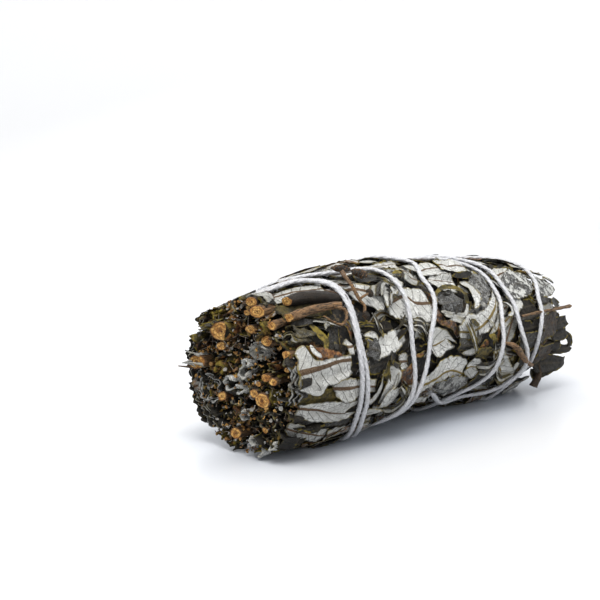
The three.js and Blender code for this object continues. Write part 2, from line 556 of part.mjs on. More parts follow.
const nearLeaves = [...NEAR_LEAVES, ...LOOSE_TIPS, ...INNER_ENDS].map(leafRow);
const allLeaves = [...nearLeaves, ...farLeaves()].sort((a, b) => a.layer - b.layer);
let darkCount = 0;
for (const leaf of allLeaves) {
  leaf.alone = leaf.face === "D" && leaf.layer > 3.4;
  const name = leaf.alone ? `dark_leaf_${++darkCount}` : sprigName(sprigAt(leaf.rib[3]));
  if (leaf.alone) finish.set(name, materials.dark);
  join(name, leafSolid(leaf, 0), leafSolid(leaf, CLEARANCE));
}

for (const roll of ROLLED_ENDS) {
  const name = roll[0] < HEART_RADIUS ? "heart_leaves" : sprigName(sprigAt(roll[1]));
  join(name, rollSolid(roll, 0), rollSolid(roll, CLEARANCE));
}

for (const [name, twig] of Object.entries(TWIGS)) {
  finish.set(name, materials.wood);
  join(name, twigSolid(twig, 0), twigSolid(twig, CLEARANCE));
}

STEMS.forEach((stem, i) => {
  const name = `stem_${String(i + 1).padStart(2, "0")}`;
  finish.set(name, materials.wood);
  join(name, stemParts(stem, 0), stemParts(stem, CLEARANCE));
});

const way = stringPoints();
finish.set("cotton_string", materials.cotton);
join("cotton_string", stringSolid(way).add(knotSolid(0)), grooveSolid(way).add(knotSolid(CLEARANCE)));

// What would reach under the table is pressed flat on it.
const under = new THREE.BoxGeometry(TABLE.length, TABLE.width, TABLE.depth);
under.translate(0, 0, -TABLE.depth / 2);
const table = solidOf(under);

const bundle = new THREE.Group();
for (const [name, solid] of nodes) {
  const mesh = new THREE.Mesh(wholeOf(solid.subtract(table)), finish.get(name));
  mesh.name = name;
  mesh.position.set(-ORIGIN[0], -ORIGIN[1], -ORIGIN[2]);
  bundle.add(mesh);
}

export default bundle;
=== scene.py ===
# The looks of the smudge stick: every leaf, stem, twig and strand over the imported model's solids.
# Lengths are millimetres here, as in the part's source, and become metres where a mesh is made.
import math

import bpy
import numpy as np
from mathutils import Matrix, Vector


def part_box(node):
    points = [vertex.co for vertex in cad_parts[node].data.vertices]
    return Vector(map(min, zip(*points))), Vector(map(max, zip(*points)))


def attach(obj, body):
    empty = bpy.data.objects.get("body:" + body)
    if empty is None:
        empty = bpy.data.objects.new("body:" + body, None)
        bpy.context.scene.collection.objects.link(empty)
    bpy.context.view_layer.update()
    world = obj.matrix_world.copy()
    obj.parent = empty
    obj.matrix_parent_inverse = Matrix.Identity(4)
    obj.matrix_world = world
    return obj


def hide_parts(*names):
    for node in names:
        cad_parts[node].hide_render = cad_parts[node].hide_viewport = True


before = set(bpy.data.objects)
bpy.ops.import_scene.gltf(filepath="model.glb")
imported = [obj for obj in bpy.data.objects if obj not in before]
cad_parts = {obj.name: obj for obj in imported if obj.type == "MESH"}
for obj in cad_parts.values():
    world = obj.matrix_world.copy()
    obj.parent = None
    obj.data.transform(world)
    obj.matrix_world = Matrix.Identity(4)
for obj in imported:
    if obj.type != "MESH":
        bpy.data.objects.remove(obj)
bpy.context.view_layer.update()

MM = 0.001
RNG = np.random.default_rng(20)

# Shape of the roll, as in the part's source
PROFILE_X = [-50, -45, -38, -28, -14, 0, 12, 22, 30, 38, 44, 50, 60]
PROFILE_R = [17.8, 18.7, 19.4, 19.4, 18.9, 18.7, 18.9, 18.8, 18.4, 17.6, 16.6, 14.6, 12.6]
AXIS_HEIGHT = 17.3
ARCH_HEIGHT, ARCH_X, ARCH_REACH = 2.3, -6, 24
DENT_ANGLES, DENT_DEPTH, DENT_WIDTH = (205, 335), 0.13, 28
DENT_START, DENT_RUN = -30, 20
ORIGIN = np.array([1.4, 0.4, 0.0])
MM_PER_DEGREE = 19 * math.pi / 180
CUT_X = -50
SPRIGS = 5


def smooth(t):
    t = np.clip(t, 0, 1)
    return t * t * (3 - 2 * t)


def turn_between(a, b):
    return (np.asarray(a) - b + 180) % 360 - 180


def surface_radius(x, angle):
    """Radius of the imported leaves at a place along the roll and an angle, from 0 on top towards -Y."""
    x = np.asarray(x, float)
    near = smooth((DENT_START - x) / DENT_RUN)
    dent = sum(np.exp(-((turn_between(angle, a) / DENT_WIDTH) ** 2)) for a in DENT_ANGLES)
    a = np.radians(angle)
    lumps = 0.35 * np.cos(3 * a + 0.06 * x) + 0.3 * np.cos(5 * a - 0.09 * x + 1)
    return np.interp(x, PROFILE_X, PROFILE_R) * (1 - DENT_DEPTH * near * dent) + lumps


def axis_height(x):
    return AXIS_HEIGHT + ARCH_HEIGHT * np.exp(-(((np.asarray(x, float) - ARCH_X) / ARCH_REACH) ** 2))


def place(x, angle, radius):
    """Points in the part's frame, millimetres, as an array whose last axis is x, y, z."""
    a = np.radians(angle)
    x, y = np.broadcast_arrays(np.asarray(x, float), -radius * np.sin(a))
    z = np.broadcast_to(axis_height(x) + radius * np.cos(a), x.shape)
    return np.stack([x, y, z], -1) - ORIGIN


# Noise and curves
NOISE_CELLS = 64


def value_noise(x, y, seed):
    """Smooth noise from -1 to 1 over a plane, with a cell of one unit."""
    x, y = np.asarray(x, float), np.asarray(y, float)
    table = np.random.default_rng(seed).uniform(-1, 1, (NOISE_CELLS, NOISE_CELLS))
    xi, yi = np.floor(x).astype(int), np.floor(y).astype(int)
    fx, fy = smooth(x - xi), smooth(y - yi)
    a, b, c, d = (table[(xi + i) % NOISE_CELLS, (yi + j) % NOISE_CELLS] for j in (0, 1) for i in (0, 1))
    return (a * (1 - fx) + b * fx) * (1 - fy) + (c * (1 - fx) + d * fx) * fy


def rough_noise(x, y, seed, octaves=3):
    total = sum(0.5**k * value_noise(x * 2**k, y * 2**k, seed + k) for k in range(octaves))
    return total / (2 - 0.5 ** (octaves - 1))


def spline(points, t):
    """Catmull-Rom curve through points, at t from 0 to 1."""
    points = np.asarray(points, float)
    if points.ndim == 1:
        points = points[:, None]
    if len(points) == 1:
        points = np.repeat(points, 2, 0)
    t = np.asarray(t, float) * (len(points) - 1)
    i = np.clip(np.floor(t).astype(int), 0, len(points) - 2)
    f = (t - i)[:, None]
    last = len(points) - 1
    a, b = points[np.clip(i - 1, 0, last)], points[i]
    c, d = points[i + 1], points[np.clip(i + 2, 0, last)]
    return 0.5 * (2 * b + (c - a) * f + (2 * a - 5 * b + 4 * c - d) * f**2 + (3 * b - a - 3 * c + d) * f**3)


CURVE_STEPS = 24


def even_spline(points, count):
    """Points at even steps along the curve, and the curve's length."""
    fine = spline(points, np.linspace(0, 1, CURVE_STEPS * len(points)))
    run = np.concatenate([[0], np.cumsum(np.linalg.norm(np.diff(fine, axis=0), axis=1))])
    at = np.linspace(0, run[-1], count)
    return np.stack([np.interp(at, run, fine[:, k]) for k in range(fine.shape[1])], -1), run[-1]


def stepped(points, step, least):
    """Points about a step apart along the curve, each one's share of the way, and the curve's length."""
    rows = max(least, int(even_spline(points, 8)[1] / step))
    line, length = even_spline(points, rows)
    return line, np.linspace(0, 1, rows), length


def unit(vectors):
    return vectors / np.maximum(np.linalg.norm(vectors, axis=-1, keepdims=True), 1e-6)


def on_flat(points):
    """Places and angles as places and millimetres round the roll."""
    return np.array([(x, a * MM_PER_DEGREE) for x, a in points])


def blur(grid, sigma_rows, sigma_columns):
    """Gaussian blur with the edge values repeated outwards."""
    for axis, sigma in ((0, sigma_rows), (1, sigma_columns)):
        reach = max(1, int(2.5 * sigma))
        weights = np.exp(-0.5 * (np.arange(-reach, reach + 1) / max(sigma, 1e-3)) ** 2)
        weights /= weights.sum()
        pad = [(0, 0), (0, 0)]
        pad[axis] = (reach, reach)
        padded = np.pad(grid, pad, mode="edge")
        size = grid.shape[axis]
        grid = sum(w * np.take(padded, range(k, k + size), axis) for k, w in enumerate(weights))
    return grid


# The pile of leaves, as its height over the roll's surface on a grid of places and angles
class Pile:
    CELL = 0.5
    LOW, HIGH = -60.0, 64.0

    def __init__(self, level):
        self.rows = int((self.HIGH - self.LOW) / self.CELL)
        self.columns = int(360 * MM_PER_DEGREE / self.CELL)
        self.height = np.full((self.rows, self.columns), level)
        self.press = np.zeros((self.rows, self.columns))
        self.firm = np.full((self.rows, self.columns), level)

    def cells(self, x, angle):
        i = (np.asarray(x) - self.LOW) / self.CELL
        j = (np.asarray(angle) % 360) / 360 * self.columns
        return np.clip(i, 0, self.rows - 1.001), j

    def read(self, grid, x, angle):
        i, j = self.cells(x, angle)
        i0, j0 = np.floor(i).astype(int), np.floor(j).astype(int)
        fi, fj = i - i0, j - j0
        j0, j1 = j0 % self.columns, (j0 + 1) % self.columns
        low = grid[i0, j0] * (1 - fj) + grid[i0, j1] * fj
        high = grid[i0 + 1, j0] * (1 - fj) + grid[i0 + 1, j1] * fj
        return low * (1 - fi) + high * fi

    def raise_to(self, x, angle, level, grid=None):
        i, j = self.cells(x, angle)
        i, j = np.round(i).astype(int), np.round(j).astype(int) % self.columns
        np.maximum.at(self.height if grid is None else grid, (i, j), level)


# The pile starts below the surface. Above a loose lift the packing lets only a share of the height through.
PILE = Pile(-1.1)
LOOSE_LIFT, GIVE = 0.45, 0.4
FAR_TIGHT, FAR_X_START, FAR_X_RUN = 1.4, -22, 18

# Leaves pressed flat on the table keep this far off it, and a little more for each millimetre of lift.
TABLE_CLEAR, TABLE_LAYERS = 0.04, 0.03


def packed(x, angle, lift):
    """Lift over the roll's surface once the leaves are packed. The far side of the stem end is packed most."""
    lift = np.minimum(lift, LOOSE_LIFT + GIVE * (lift - LOOSE_LIFT))
    stem_end = smooth((FAR_X_START - np.asarray(x)) / FAR_X_RUN)
    far = stem_end * smooth(0.3 - 2 * np.sin(np.radians(angle)))
    return lift - FAR_TIGHT * far


def on_roll(x, angle, lift):
    """Points over the roll's surface, pressed in under the string and flat on the table."""
    lift = packed(x, angle, lift)
    radius = surface_radius(x, angle) + lift - PILE.read(PILE.press, x, angle)
    points = place(x, angle, radius)
    flattened = TABLE_CLEAR + TABLE_LAYERS * np.clip(lift + 2, 0, 4)
    points[..., 2] = np.maximum(points[..., 2], flattened)
    return points


# Meshes
class Bunch:
    """Collects sheets and tubes, each with its looks, and makes one object of them."""

    def __init__(self):
        self.points, self.faces, self.uv, self.share = [], [], [], []
        self.look, self.wear, self.tint = [], [], []
        self.count = 0

    def add(self, points, faces, uv=(0, 0), share=(0, 0), look=(0, 0.5, 0), wear=(0, 0, 0.5), tint=(0, 0, 0),
            rolled=False):
        """Rolled points are a place along the roll, an angle and a lift, and are put in space at the end."""
        n = len(points)
        self.points.append((points, rolled))
        self.faces.append(np.asarray(faces) + self.count)
        for kept, given in ((self.uv, uv), (self.share, share), (self.look, look), (self.wear, wear),
                            (self.tint, tint)):
            given = np.asarray(given, float)
            kept.append(np.broadcast_to(given, (n, given.shape[-1])))
        self.count += n

    def object(self, name, material, slot, nodes, shade_smooth=True):
        placed = [on_roll(p[:, 0], p[:, 1], p[:, 2]) if rolled else p for p, rolled in self.points]
        points = np.concatenate(placed) * MM
        faces = np.concatenate(self.faces)
        mesh = bpy.data.meshes.new(name)
        mesh.from_pydata(points.tolist(), [], faces.tolist())
        corners = np.empty(len(mesh.loops), int)
        mesh.loops.foreach_get("vertex_index", corners)
        for label, values in (("leaf", self.uv), ("share", self.share)):
            layer = mesh.uv_layers.new(name=label)
            layer.data.foreach_set("uv", np.concatenate(values)[corners].astype(np.float32).ravel())
        for label, values in (("look", self.look), ("wear", self.wear), ("tint", self.tint)):
            layer = mesh.attributes.new(label, "FLOAT_VECTOR", "POINT")
            layer.data.foreach_set("vector", np.concatenate(values).astype(np.float32).ravel())
        mesh.polygons.foreach_set("use_smooth", np.full(len(mesh.polygons), shade_smooth))
        mesh.materials.append(material)
        mesh.update()
        piece = bpy.data.objects.new(name, mesh)
        bpy.context.scene.collection.objects.link(piece)
        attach(piece, "root")
        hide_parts(*nodes)


def grid_faces(rows, columns, closed=False):
    """Quads of a grid whose points run row by row. A closed grid joins its last column to its first."""
    width = columns if closed else columns - 1
    i, j = np.meshgrid(np.arange(rows - 1), np.arange(width), indexing="ij")
    i, j = i.ravel(), j.ravel()
    k = (j + 1) % columns
    return np.stack([i * columns + j, i * columns + k, (i + 1) * columns + k, (i + 1) * columns + j], -1)


def sheet_faces(rows, columns):
    """Quads of a thin sheet: a top grid, a bottom grid after it, and the rim between them."""
    top = grid_faces(rows, columns)
    count = rows * columns
    bottom = top[:, ::-1] + count
    rim = np.concatenate([
        np.arange(columns),
        np.arange(1, rows) * columns + columns - 1,
        (rows - 1) * columns + np.arange(columns - 2, -1, -1),
        np.arange(rows - 2, 0, -1) * columns,
    ])
    after = np.roll(rim, -1)
    sides = np.stack([rim, rim + count, after + count, after], -1)
    return np.concatenate([top, bottom, sides])


# Materials
SIDE_VEIN_SPACING = 2.3


class Graph:
    """A material's nodes, made by short calls."""

    def __init__(self, name):
        self.material = bpy.data.materials.new(name)
        self.material.use_nodes = True
        self.nodes = self.material.node_tree.nodes
        self.links = self.material.node_tree.links
        self.nodes.clear()
        self.shader = self.nodes.new("ShaderNodeBsdfPrincipled")
        out = self.nodes.new("ShaderNodeOutputMaterial")
        self.links.new(self.shader.outputs[0], out.inputs[0])

    def put(self, socket, value):
        if isinstance(value, bpy.types.NodeSocket):
            self.links.new(value, socket)
        else:
            socket.default_value = value

    def node(self, kind, inputs=(), output=0, **settings):
        made = self.nodes.new("ShaderNode" + kind)
        for key, value in settings.items():
            setattr(made, key, value)
        for key, value in dict(inputs).items():
            self.put(made.inputs[key], value)
        return made.outputs[output]

    def math(self, operation, *values):
        return self.node("Math", dict(enumerate(values)), operation=operation)

    def add(self, a, b):
        return self.math("ADD", a, b)

    def sub(self, a, b):
        return self.math("SUBTRACT", a, b)

    def mul(self, a, b):
        return self.math("MULTIPLY", a, b)

    def most(self, a, b):
        return self.math("MAXIMUM", a, b)

    def ramp(self, value, low, high, to_low=0.0, to_high=1.0):
        """Smooth step of a value from low to high."""
        return self.node("MapRange", {0: value, 1: low, 2: high, 3: to_low, 4: to_high},
                         interpolation_type="SMOOTHSTEP")

    def mix(self, factor, a, b):
        made = self.nodes.new("ShaderNodeMix")
        made.data_type = "RGBA"
        for key, value in ((0, factor), (6, a), (7, b)):
            self.put(made.inputs[key], (*value, 1) if isinstance(value, tuple) else value)
        return made.outputs[2]

    def noise(self, vector, scale, detail=3.0, roughness=0.6, output="Fac"):
        return self.node("TexNoise", {"Vector": vector, "Scale": scale, "Detail": detail,
                                      "Roughness": roughness}, output)

    def parts(self, vector):
        made = self.nodes.new("ShaderNodeSeparateXYZ")
        self.links.new(vector, made.inputs[0])
        return made.outputs

    def attribute(self, name):
        return self.parts(self.node("Attribute", output=1, attribute_name=name))

    def place(self):
        """The surface point in millimetres."""
        return self.node("VectorMath", {0: self.node("TexCoord", output=3), 3: 1 / MM}, operation="SCALE")

    def length(self, vector):
        return self.node("VectorMath", {0: vector}, "Value", operation="LENGTH")

    def cracks(self, vector, scale):
        """Distance from the edges between irregular cells."""
        return self.node("TexVoronoi", {"Vector": vector, "Scale": scale}, feature="DISTANCE_TO_EDGE")

    def bump(self, height, strength, distance):
        return self.node("Bump", {"Height": height, "Strength": strength, "Distance": distance * MM})

    def finish(self, colour, roughness, normal, **fixed):
        self.put(self.shader.inputs["Base Color"], colour)
        self.put(self.shader.inputs["Roughness"], roughness)
        self.put(self.shader.inputs["Normal"], normal)
        for key, value in fixed.items():
            self.shader.inputs[key.replace("_", " ")].default_value = value
        return self.material


def leaf_material():
    """Both faces of a dried leaf. Attribute look holds darkness, tone and margin colour; attribute wear holds
    speckle, rust and the midrib's half width; attribute tint holds olive and pale blotches.
    UV map leaf is millimetres along and across from the midrib. Map share is how far along the leaf a point
    is, and its millimetres from the margin."""
    g = Graph("dried_leaf")
    u, v, _ = g.parts(g.node("UVMap", uv_map="leaf"))
    along, edge, _ = g.parts(g.node("UVMap", uv_map="share"))
    dark, tone, margin = g.attribute("look")
    speck, rust, rib_width = g.attribute("wear")
    olive, pied, _ = g.attribute("tint")
    here = g.place()
    bent = g.node("VectorMath", {0: g.noise(here, 0.8, 2, output="Color"), 1: (1.5, 1.5, 1.5), 2: here},
                  operation="MULTIPLY_ADD")
    wobble = g.noise(here, 0.9, 2)
    fine = g.noise(here, 5.0, 4, 0.7)
    coarse = g.noise(here, 0.35, 3)

    shake = g.mul(g.sub(wobble, 0.5), 0.6)
    across = g.math("ABSOLUTE", g.add(v, g.mul(shake, 0.5)))
    rib_half = g.mul(rib_width, g.sub(1.1, g.mul(along, 0.5)))
    rib = g.ramp(across, g.add(rib_half, 0.1), g.sub(rib_half, 0.08))

    # Side veins leave the midrib slanting towards the tip, on the two sides in turn
    side = g.mul(g.math("SIGN", v), 0.5)
    slant = g.add(g.mul(across, 0.75), g.mul(g.mul(across, across), -0.03))
    rows = g.add(g.math("DIVIDE", g.add(g.sub(u, slant), g.mul(shake, 1.0)), SIDE_VEIN_SPACING), side)
    gap = g.math("ABSOLUTE", g.sub(g.math("FRACT", rows), 0.5))
    side_vein = g.mul(g.ramp(gap, 0.065, 0.022), g.ramp(edge, 0.0, 0.9, 0.4, 1.0))
    side_vein = g.mul(side_vein, g.ramp(g.noise(here, 0.5, 2), 0.3, 0.55, 0.35, 1.0))
    net_vein = g.mul(g.ramp(g.cracks(bent, 0.6), 0.06, 0.02), g.ramp(coarse, 0.4, 0.6, 0.15, 0.8))
    small_vein = g.mul(g.ramp(g.cracks(bent, 1.9), 0.1, 0.03), 0.3)
    has_rib = g.ramp(rib_width, 0.01, 0.08)
    veins = g.most(g.mul(side_vein, has_rib), g.most(net_vein, small_vein))

    shade = g.mix(g.ramp(coarse, 0.3, 0.7), (0.42, 0.42, 0.395), (0.66, 0.665, 0.645))
    shade = g.mix(g.ramp(fine, 0.38, 0.72, 0.0, 0.55), shade, (0.23, 0.23, 0.205))
    shade = g.mix(g.mul(g.sub(1.0, tone), 0.8), shade, (0.12, 0.118, 0.10))
    pale = g.mix(g.mul(veins, 0.85), shade, (0.03, 0.026, 0.021))
    rib_colour = g.mix(olive, (0.06, 0.034, 0.020), (0.15, 0.11, 0.028))
    rib_colour = g.mix(g.ramp(fine, 0.4, 0.7), rib_colour, (0.16, 0.12, 0.08))
    pale = g.mix(g.mul(rib, has_rib), pale, rib_colour)

    grain = g.noise(here, 6.0, 2, 0.8)
    felt = g.mul(g.ramp(grain, 0.46, 0.6), g.mul(speck, g.ramp(g.noise(here, 1.1, 3), 0.35, 0.6, 0.25, 1.0)))
    # Dark face: the leaf's own dark colour, made near black as painted shade of the deep gaps between leaves
    night = g.mix(g.ramp(coarse, 0.35, 0.65), (0.003, 0.0028, 0.0025), (0.011, 0.0095, 0.0075))
    night = g.mix(g.mul(g.mul(tone, 0.45), g.ramp(fine, 0.48, 0.68)), night, (0.05, 0.047, 0.040))
    night = g.mix(felt, night, (0.27, 0.275, 0.275))
    night = g.mix(g.mul(g.most(veins, rib), 0.45), night, (0.05, 0.042, 0.028))
    gold = g.mix(g.ramp(wobble, 0.35, 0.65), (0.035, 0.030, 0.010), (0.16, 0.12, 0.026))
    night = g.mix(olive, night, gold)
    blotch = g.mul(pied, g.ramp(g.noise(here, 0.55, 4, 0.7), 0.47, 0.56))
    night = g.mix(g.mul(blotch, g.ramp(grain, 0.35, 0.6, 0.5, 1.0)), night, (0.48, 0.485, 0.46))
    face = g.mix(dark, pale, night)

    brown = g.mix(g.ramp(wobble, 0.4, 0.65), (0.07, 0.028, 0.012), (0.26, 0.12, 0.04))
    face = g.mix(g.mul(rust, g.ramp(g.noise(here, 0.7, 3), 0.36, 0.58)), face, brown)
    rim = g.ramp(g.add(edge, g.mul(g.sub(g.noise(here, 1.6, 3), 0.5), 0.6)), 0.36, 0.16)
    rim_colour = g.mix(g.ramp(g.noise(here, 0.45, 2), 0.44, 0.58), (0.012, 0.010, 0.006), (0.17, 0.13, 0.02))
    face = g.mix(g.mul(rim, margin), face, rim_colour)

    height = g.sub(g.mul(fine, 0.6), g.mul(g.most(veins, g.mul(rib, -0.5)), g.sub(0.9, dark)))
    height = g.add(height, g.mul(g.noise(here, 1.7, 3), 0.8))
    normal = g.bump(height, 0.85, 0.22)
    rough = g.ramp(dark, 0.0, 1.0, 0.85, 0.62)
    return g.finish(face, rough, normal, Specular_IOR_Level=0.12)


def wood_material():
    """Bark and cut faces. Attribute look holds how much of a cut face a point is, and tone. Attribute wear
    holds the distance from the stem's middle as a share, and a random number."""
    g = Graph("stem_wood")
    cut, tone, _ = g.attribute("look")
    ring, draw, _ = g.attribute("wear")
    here = g.place()
    streaks = g.node("Mapping", {"Vector": here, "Scale": (0.22, 2.4, 2.4)})
    bark_grain = g.noise(streaks, 1.6, 4, 0.65)
    bark = g.mix(g.ramp(bark_grain, 0.35, 0.66), (0.014, 0.009, 0.005), (0.21, 0.115, 0.05))
    bark = g.mix(g.mul(g.ramp(g.noise(here, 0.9, 3), 0.52, 0.7), 0.4), bark, (0.24, 0.17, 0.10))
    bark = g.mix(g.ramp(tone, 1.0, 0.0, 0.0, 0.97), bark, (0.008, 0.0065, 0.005))
    cells = g.noise(here, 2.6, 4, 0.7)
    ring_count = g.add(11.0, g.mul(draw, 8.0))
    wave = g.math("SINE", g.add(g.mul(ring, ring_count), g.mul(g.noise(here, 1.2, 3), 14.0)))
    face = g.mix(g.ramp(g.noise(here, 0.8, 2), 0.35, 0.65), (0.40, 0.18, 0.04), (0.78, 0.47, 0.14))
    face = g.mix(g.ramp(wave, -0.9, 0.5, 0.65, 0.0), face, (0.12, 0.045, 0.014))
    face = g.mix(g.ramp(cells, 0.5, 0.64, 0.0, 0.75), face, (0.11, 0.045, 0.015))
    face = g.mix(g.ramp(ring, 0.82, 0.97), face, (0.13, 0.06, 0.03))
    face = g.mix(g.ramp(ring, 0.2, 0.06), face, (0.12, 0.05, 0.022))
    colour = g.mix(cut, bark, face)
    normal = g.bump(g.add(g.mul(bark_grain, 1.2), g.add(cells, g.mul(wave, 0.06))), 0.8, 0.3)
    return g.finish(colour, 0.72, normal, Specular_IOR_Level=0.3)


STRAND_UNIT = 75.0


def cotton_material():
    """Twisted cotton, with painted shade in the grooves between the strands. UV map leaf is millimetres along,
    and the angle round the strands in strand units.
    """
    g = Graph("cotton_string")
    along, around, _ = g.parts(g.node("UVMap", uv_map="leaf"))
    strands = g.math("SINE", g.add(g.mul(along, 7.0), g.mul(around, STRAND_UNIT)))
    fluff = g.noise(g.place(), 6.0, 4, 0.7)
    colour = g.mix(g.ramp(fluff, 0.35, 0.65), (0.30, 0.305, 0.32), (0.64, 0.645, 0.665))
    # painted shade in the grooves between the strands
    colour = g.mix(g.ramp(strands, -1.0, -0.3, 0.3, 0.0), colour, (0.42, 0.42, 0.44))
    dirt = g.ramp(g.noise(g.place(), 0.35, 3), 0.55, 0.75)
    colour = g.mix(g.mul(dirt, 0.3), colour, (0.42, 0.38, 0.30))
    normal = g.bump(g.add(g.mul(strands, 0.5), fluff), 0.7, 0.2)
    return g.finish(colour, 0.95, normal, Specular_IOR_Level=0.15, Sheen_Weight=0.2)


def crumb_and_gap_shade_material():
    """Packed crumbs of leaf deep between the leaves, near black: their own dark colour and painted shade of
    the deep gaps.
    """
    g = Graph("leaf_crumbs_and_gap_shade")
    here = g.place()
    bits = g.node("TexVoronoi", {"Vector": here, "Scale": 1.6}, "Color", feature="F1")
    value, hue, _ = g.parts(bits)
    # near black: the crumbs' own dark colour, darkened further as painted shade of the deep gaps between
    # leaves
    colour = g.mix(g.ramp(value, 0.3, 0.95), (0.003, 0.0027, 0.002), (0.022, 0.018, 0.012))
    colour = g.mix(g.mul(g.ramp(hue, 0.85, 0.97), 0.6), colour, (0.14, 0.10, 0.05))
    normal = g.bump(g.add(g.noise(here, 2.0, 4, 0.7), value), 0.8, 0.5)
    return g.finish(colour, 0.8, normal)


def floor_material():
    """A pale floor with a painted bluish shadow under the roll, and painted light that makes it whiter far
    away. Distances are in millimetres.
    """
    g = Graph("pale_floor")
    cloud = g.noise(g.place(), 0.01, 3)
    colour = g.mix(cloud, (0.525, 0.533, 0.547), (0.54, 0.546, 0.56))
    # painted light: the floor turns whiter far away
    far = g.ramp(g.length(g.place()), 200, 1000)
    colour = g.mix(far, colour, (0.95, 0.95, 0.95))
    # painted bluish shadow under the roll
    spread = g.node("Mapping", {"Vector": g.place(), "Scale": (0.45, 1.0, 1.0)})
    under = g.ramp(g.length(spread), 14, 40)
    colour = g.mix(under, (0.36, 0.385, 0.43), colour)
    normal = g.bump(g.noise(g.place(), 0.8, 2), 0.02, 0.2)
    return g.finish(colour, 0.32, normal, Specular_IOR_Level=0.35)


LEAF = leaf_material()
WOOD = wood_material()
COTTON = cotton_material()
CRUMBS_AND_GAP_SHADE = crumb_and_gap_shade_material()


# Camera, floor and light
# The camera stands where a fit of the roll's outline to the photograph puts it.
CAMERA_PLACE = np.array([-218.0, -189.0, 73.3]) - ORIGIN
CAMERA_YAW, CAMERA_PITCH = 44.5, -8.9
PHOTO_SIDE = 600
FOCAL_PIXELS = 1200
SENSOR = 36.0


def add_camera():
    data = bpy.data.cameras.new("camera")
    data.sensor_width = SENSOR
    data.lens = SENSOR * FOCAL_PIXELS / PHOTO_SIDE
    data.clip_start, data.clip_end = 0.01, 10
    camera = bpy.data.objects.new("camera", data)
    bpy.context.scene.collection.objects.link(camera)
    yaw, pitch = math.radians(CAMERA_YAW), math.radians(CAMERA_PITCH)
    look = Vector((math.sin(yaw) * math.cos(pitch), math.cos(yaw) * math.cos(pitch), math.sin(pitch)))
    camera.location = Vector(CAMERA_PLACE * MM)
    camera.rotation_mode = "QUATERNION"
    camera.rotation_quaternion = look.to_track_quat("-Z", "Y")
    bpy.context.scene.camera = camera


def add_floor():
    """A floor that curves up behind the roll, in metres."""
    side, rise, back, bend = 1.6, 0.9, 0.9, 0.35
    turn = math.radians(-CAMERA_YAW)
    profile = [(-side, 0.0), (back - bend, 0.0)]
    profile += [(back - bend + bend * math.sin(a), bend - bend * math.cos(a))
                for a in np.linspace(0.1, math.pi / 2, 12)]
    profile.append((back, rise))
    points = [(x * math.cos(turn) - d * math.sin(turn), x * math.sin(turn) + d * math.cos(turn), z)
              for d, z in profile for x in (-side, side)]
    mesh = bpy.data.meshes.new("floor")
    mesh.from_pydata(points, [], grid_faces(len(profile), 2).tolist())
    mesh.polygons.foreach_set("use_smooth", [True] * len(mesh.polygons))
    mesh.materials.append(floor_material())
    floor = bpy.data.objects.new("floor", mesh)
    bpy.context.scene.collection.objects.link(floor)


# Lights: place and size in metres, watts and colour
LIGHT_TARGET = Vector((0, 0, 0.015))
LIGHTS = {
    "key": ((-0.16, -0.15, 0.58), (0.45, 0.35), 5.5, (1.0, 0.98, 0.95)),
    "fill": ((0.45, -0.45, 0.35), (0.4, 0.3), 1.5, (0.97, 0.98, 1.0)),
    "rim": ((0.1, 0.5, 0.4), (0.5, 0.25), 1.8, (0.97, 0.98, 1.0)),
}


def add_light(name, place_m, size, watts, colour):
    data = bpy.data.lights.new(name, "AREA")
    data.shape = "RECTANGLE"
    data.size, data.size_y = size
    data.energy, data.color = watts, colour
    light = bpy.data.objects.new(name, data)
    bpy.context.scene.collection.objects.link(light)
    light.location = place_m
    light.rotation_mode = "QUATERNION"
    light.rotation_quaternion = (LIGHT_TARGET - Vector(place_m)).to_track_quat("-Z", "Y")


def add_world():
    world = bpy.data.worlds.new("studio")
    world.use_nodes = True
    background = world.node_tree.nodes["Background"]
    background.inputs[0].default_value = (0.95, 0.97, 1.0, 1)
    background.inputs[1].default_value = 0.8
    bpy.context.scene.world = world


add_camera()
add_floor()
add_world()
for name, light in LIGHTS.items():
    add_light(name, *light)
bpy.context.scene.view_settings.view_transform = "Standard"


# Leaves that lie on the roll
PALE, DARK = 0, 1
BLACK = {"face": DARK, "tone": 0, "speck": 0}
SHEET_THICKNESS = 0.2
STIFF_REACH = 1.1
LAP = 0.55


def finer(grid):
    """A grid with a value put between each two neighbours."""
    for axis in (0, 1):
        grid = np.moveaxis(grid, axis, 0)
        made = np.empty((2 * len(grid) - 1, *grid.shape[1:]))
        made[::2] = grid
        made[1::2] = (grid[1:] + grid[:-1]) / 2
        grid = np.moveaxis(made, 0, axis)
    return grid


def drape(height, reach_rows, reach_columns):
    """How a stiff sheet lies over heights: over their high places, smoothly."""
    over = height
    for axis, reach in ((0, reach_rows), (1, reach_columns)):
        n = max(1, int(round(reach)))
        pad = [(0, 0), (0, 0)]
        pad[axis] = (n, n)
        padded = np.pad(over, pad, mode="edge")
        size = over.shape[axis]
        over = np.max([np.take(padded, range(k, k + size), axis) for k in range(2 * n + 1)], axis=0)
    return np.maximum(blur(over, 0.7 * reach_rows, 0.7 * reach_columns), height)


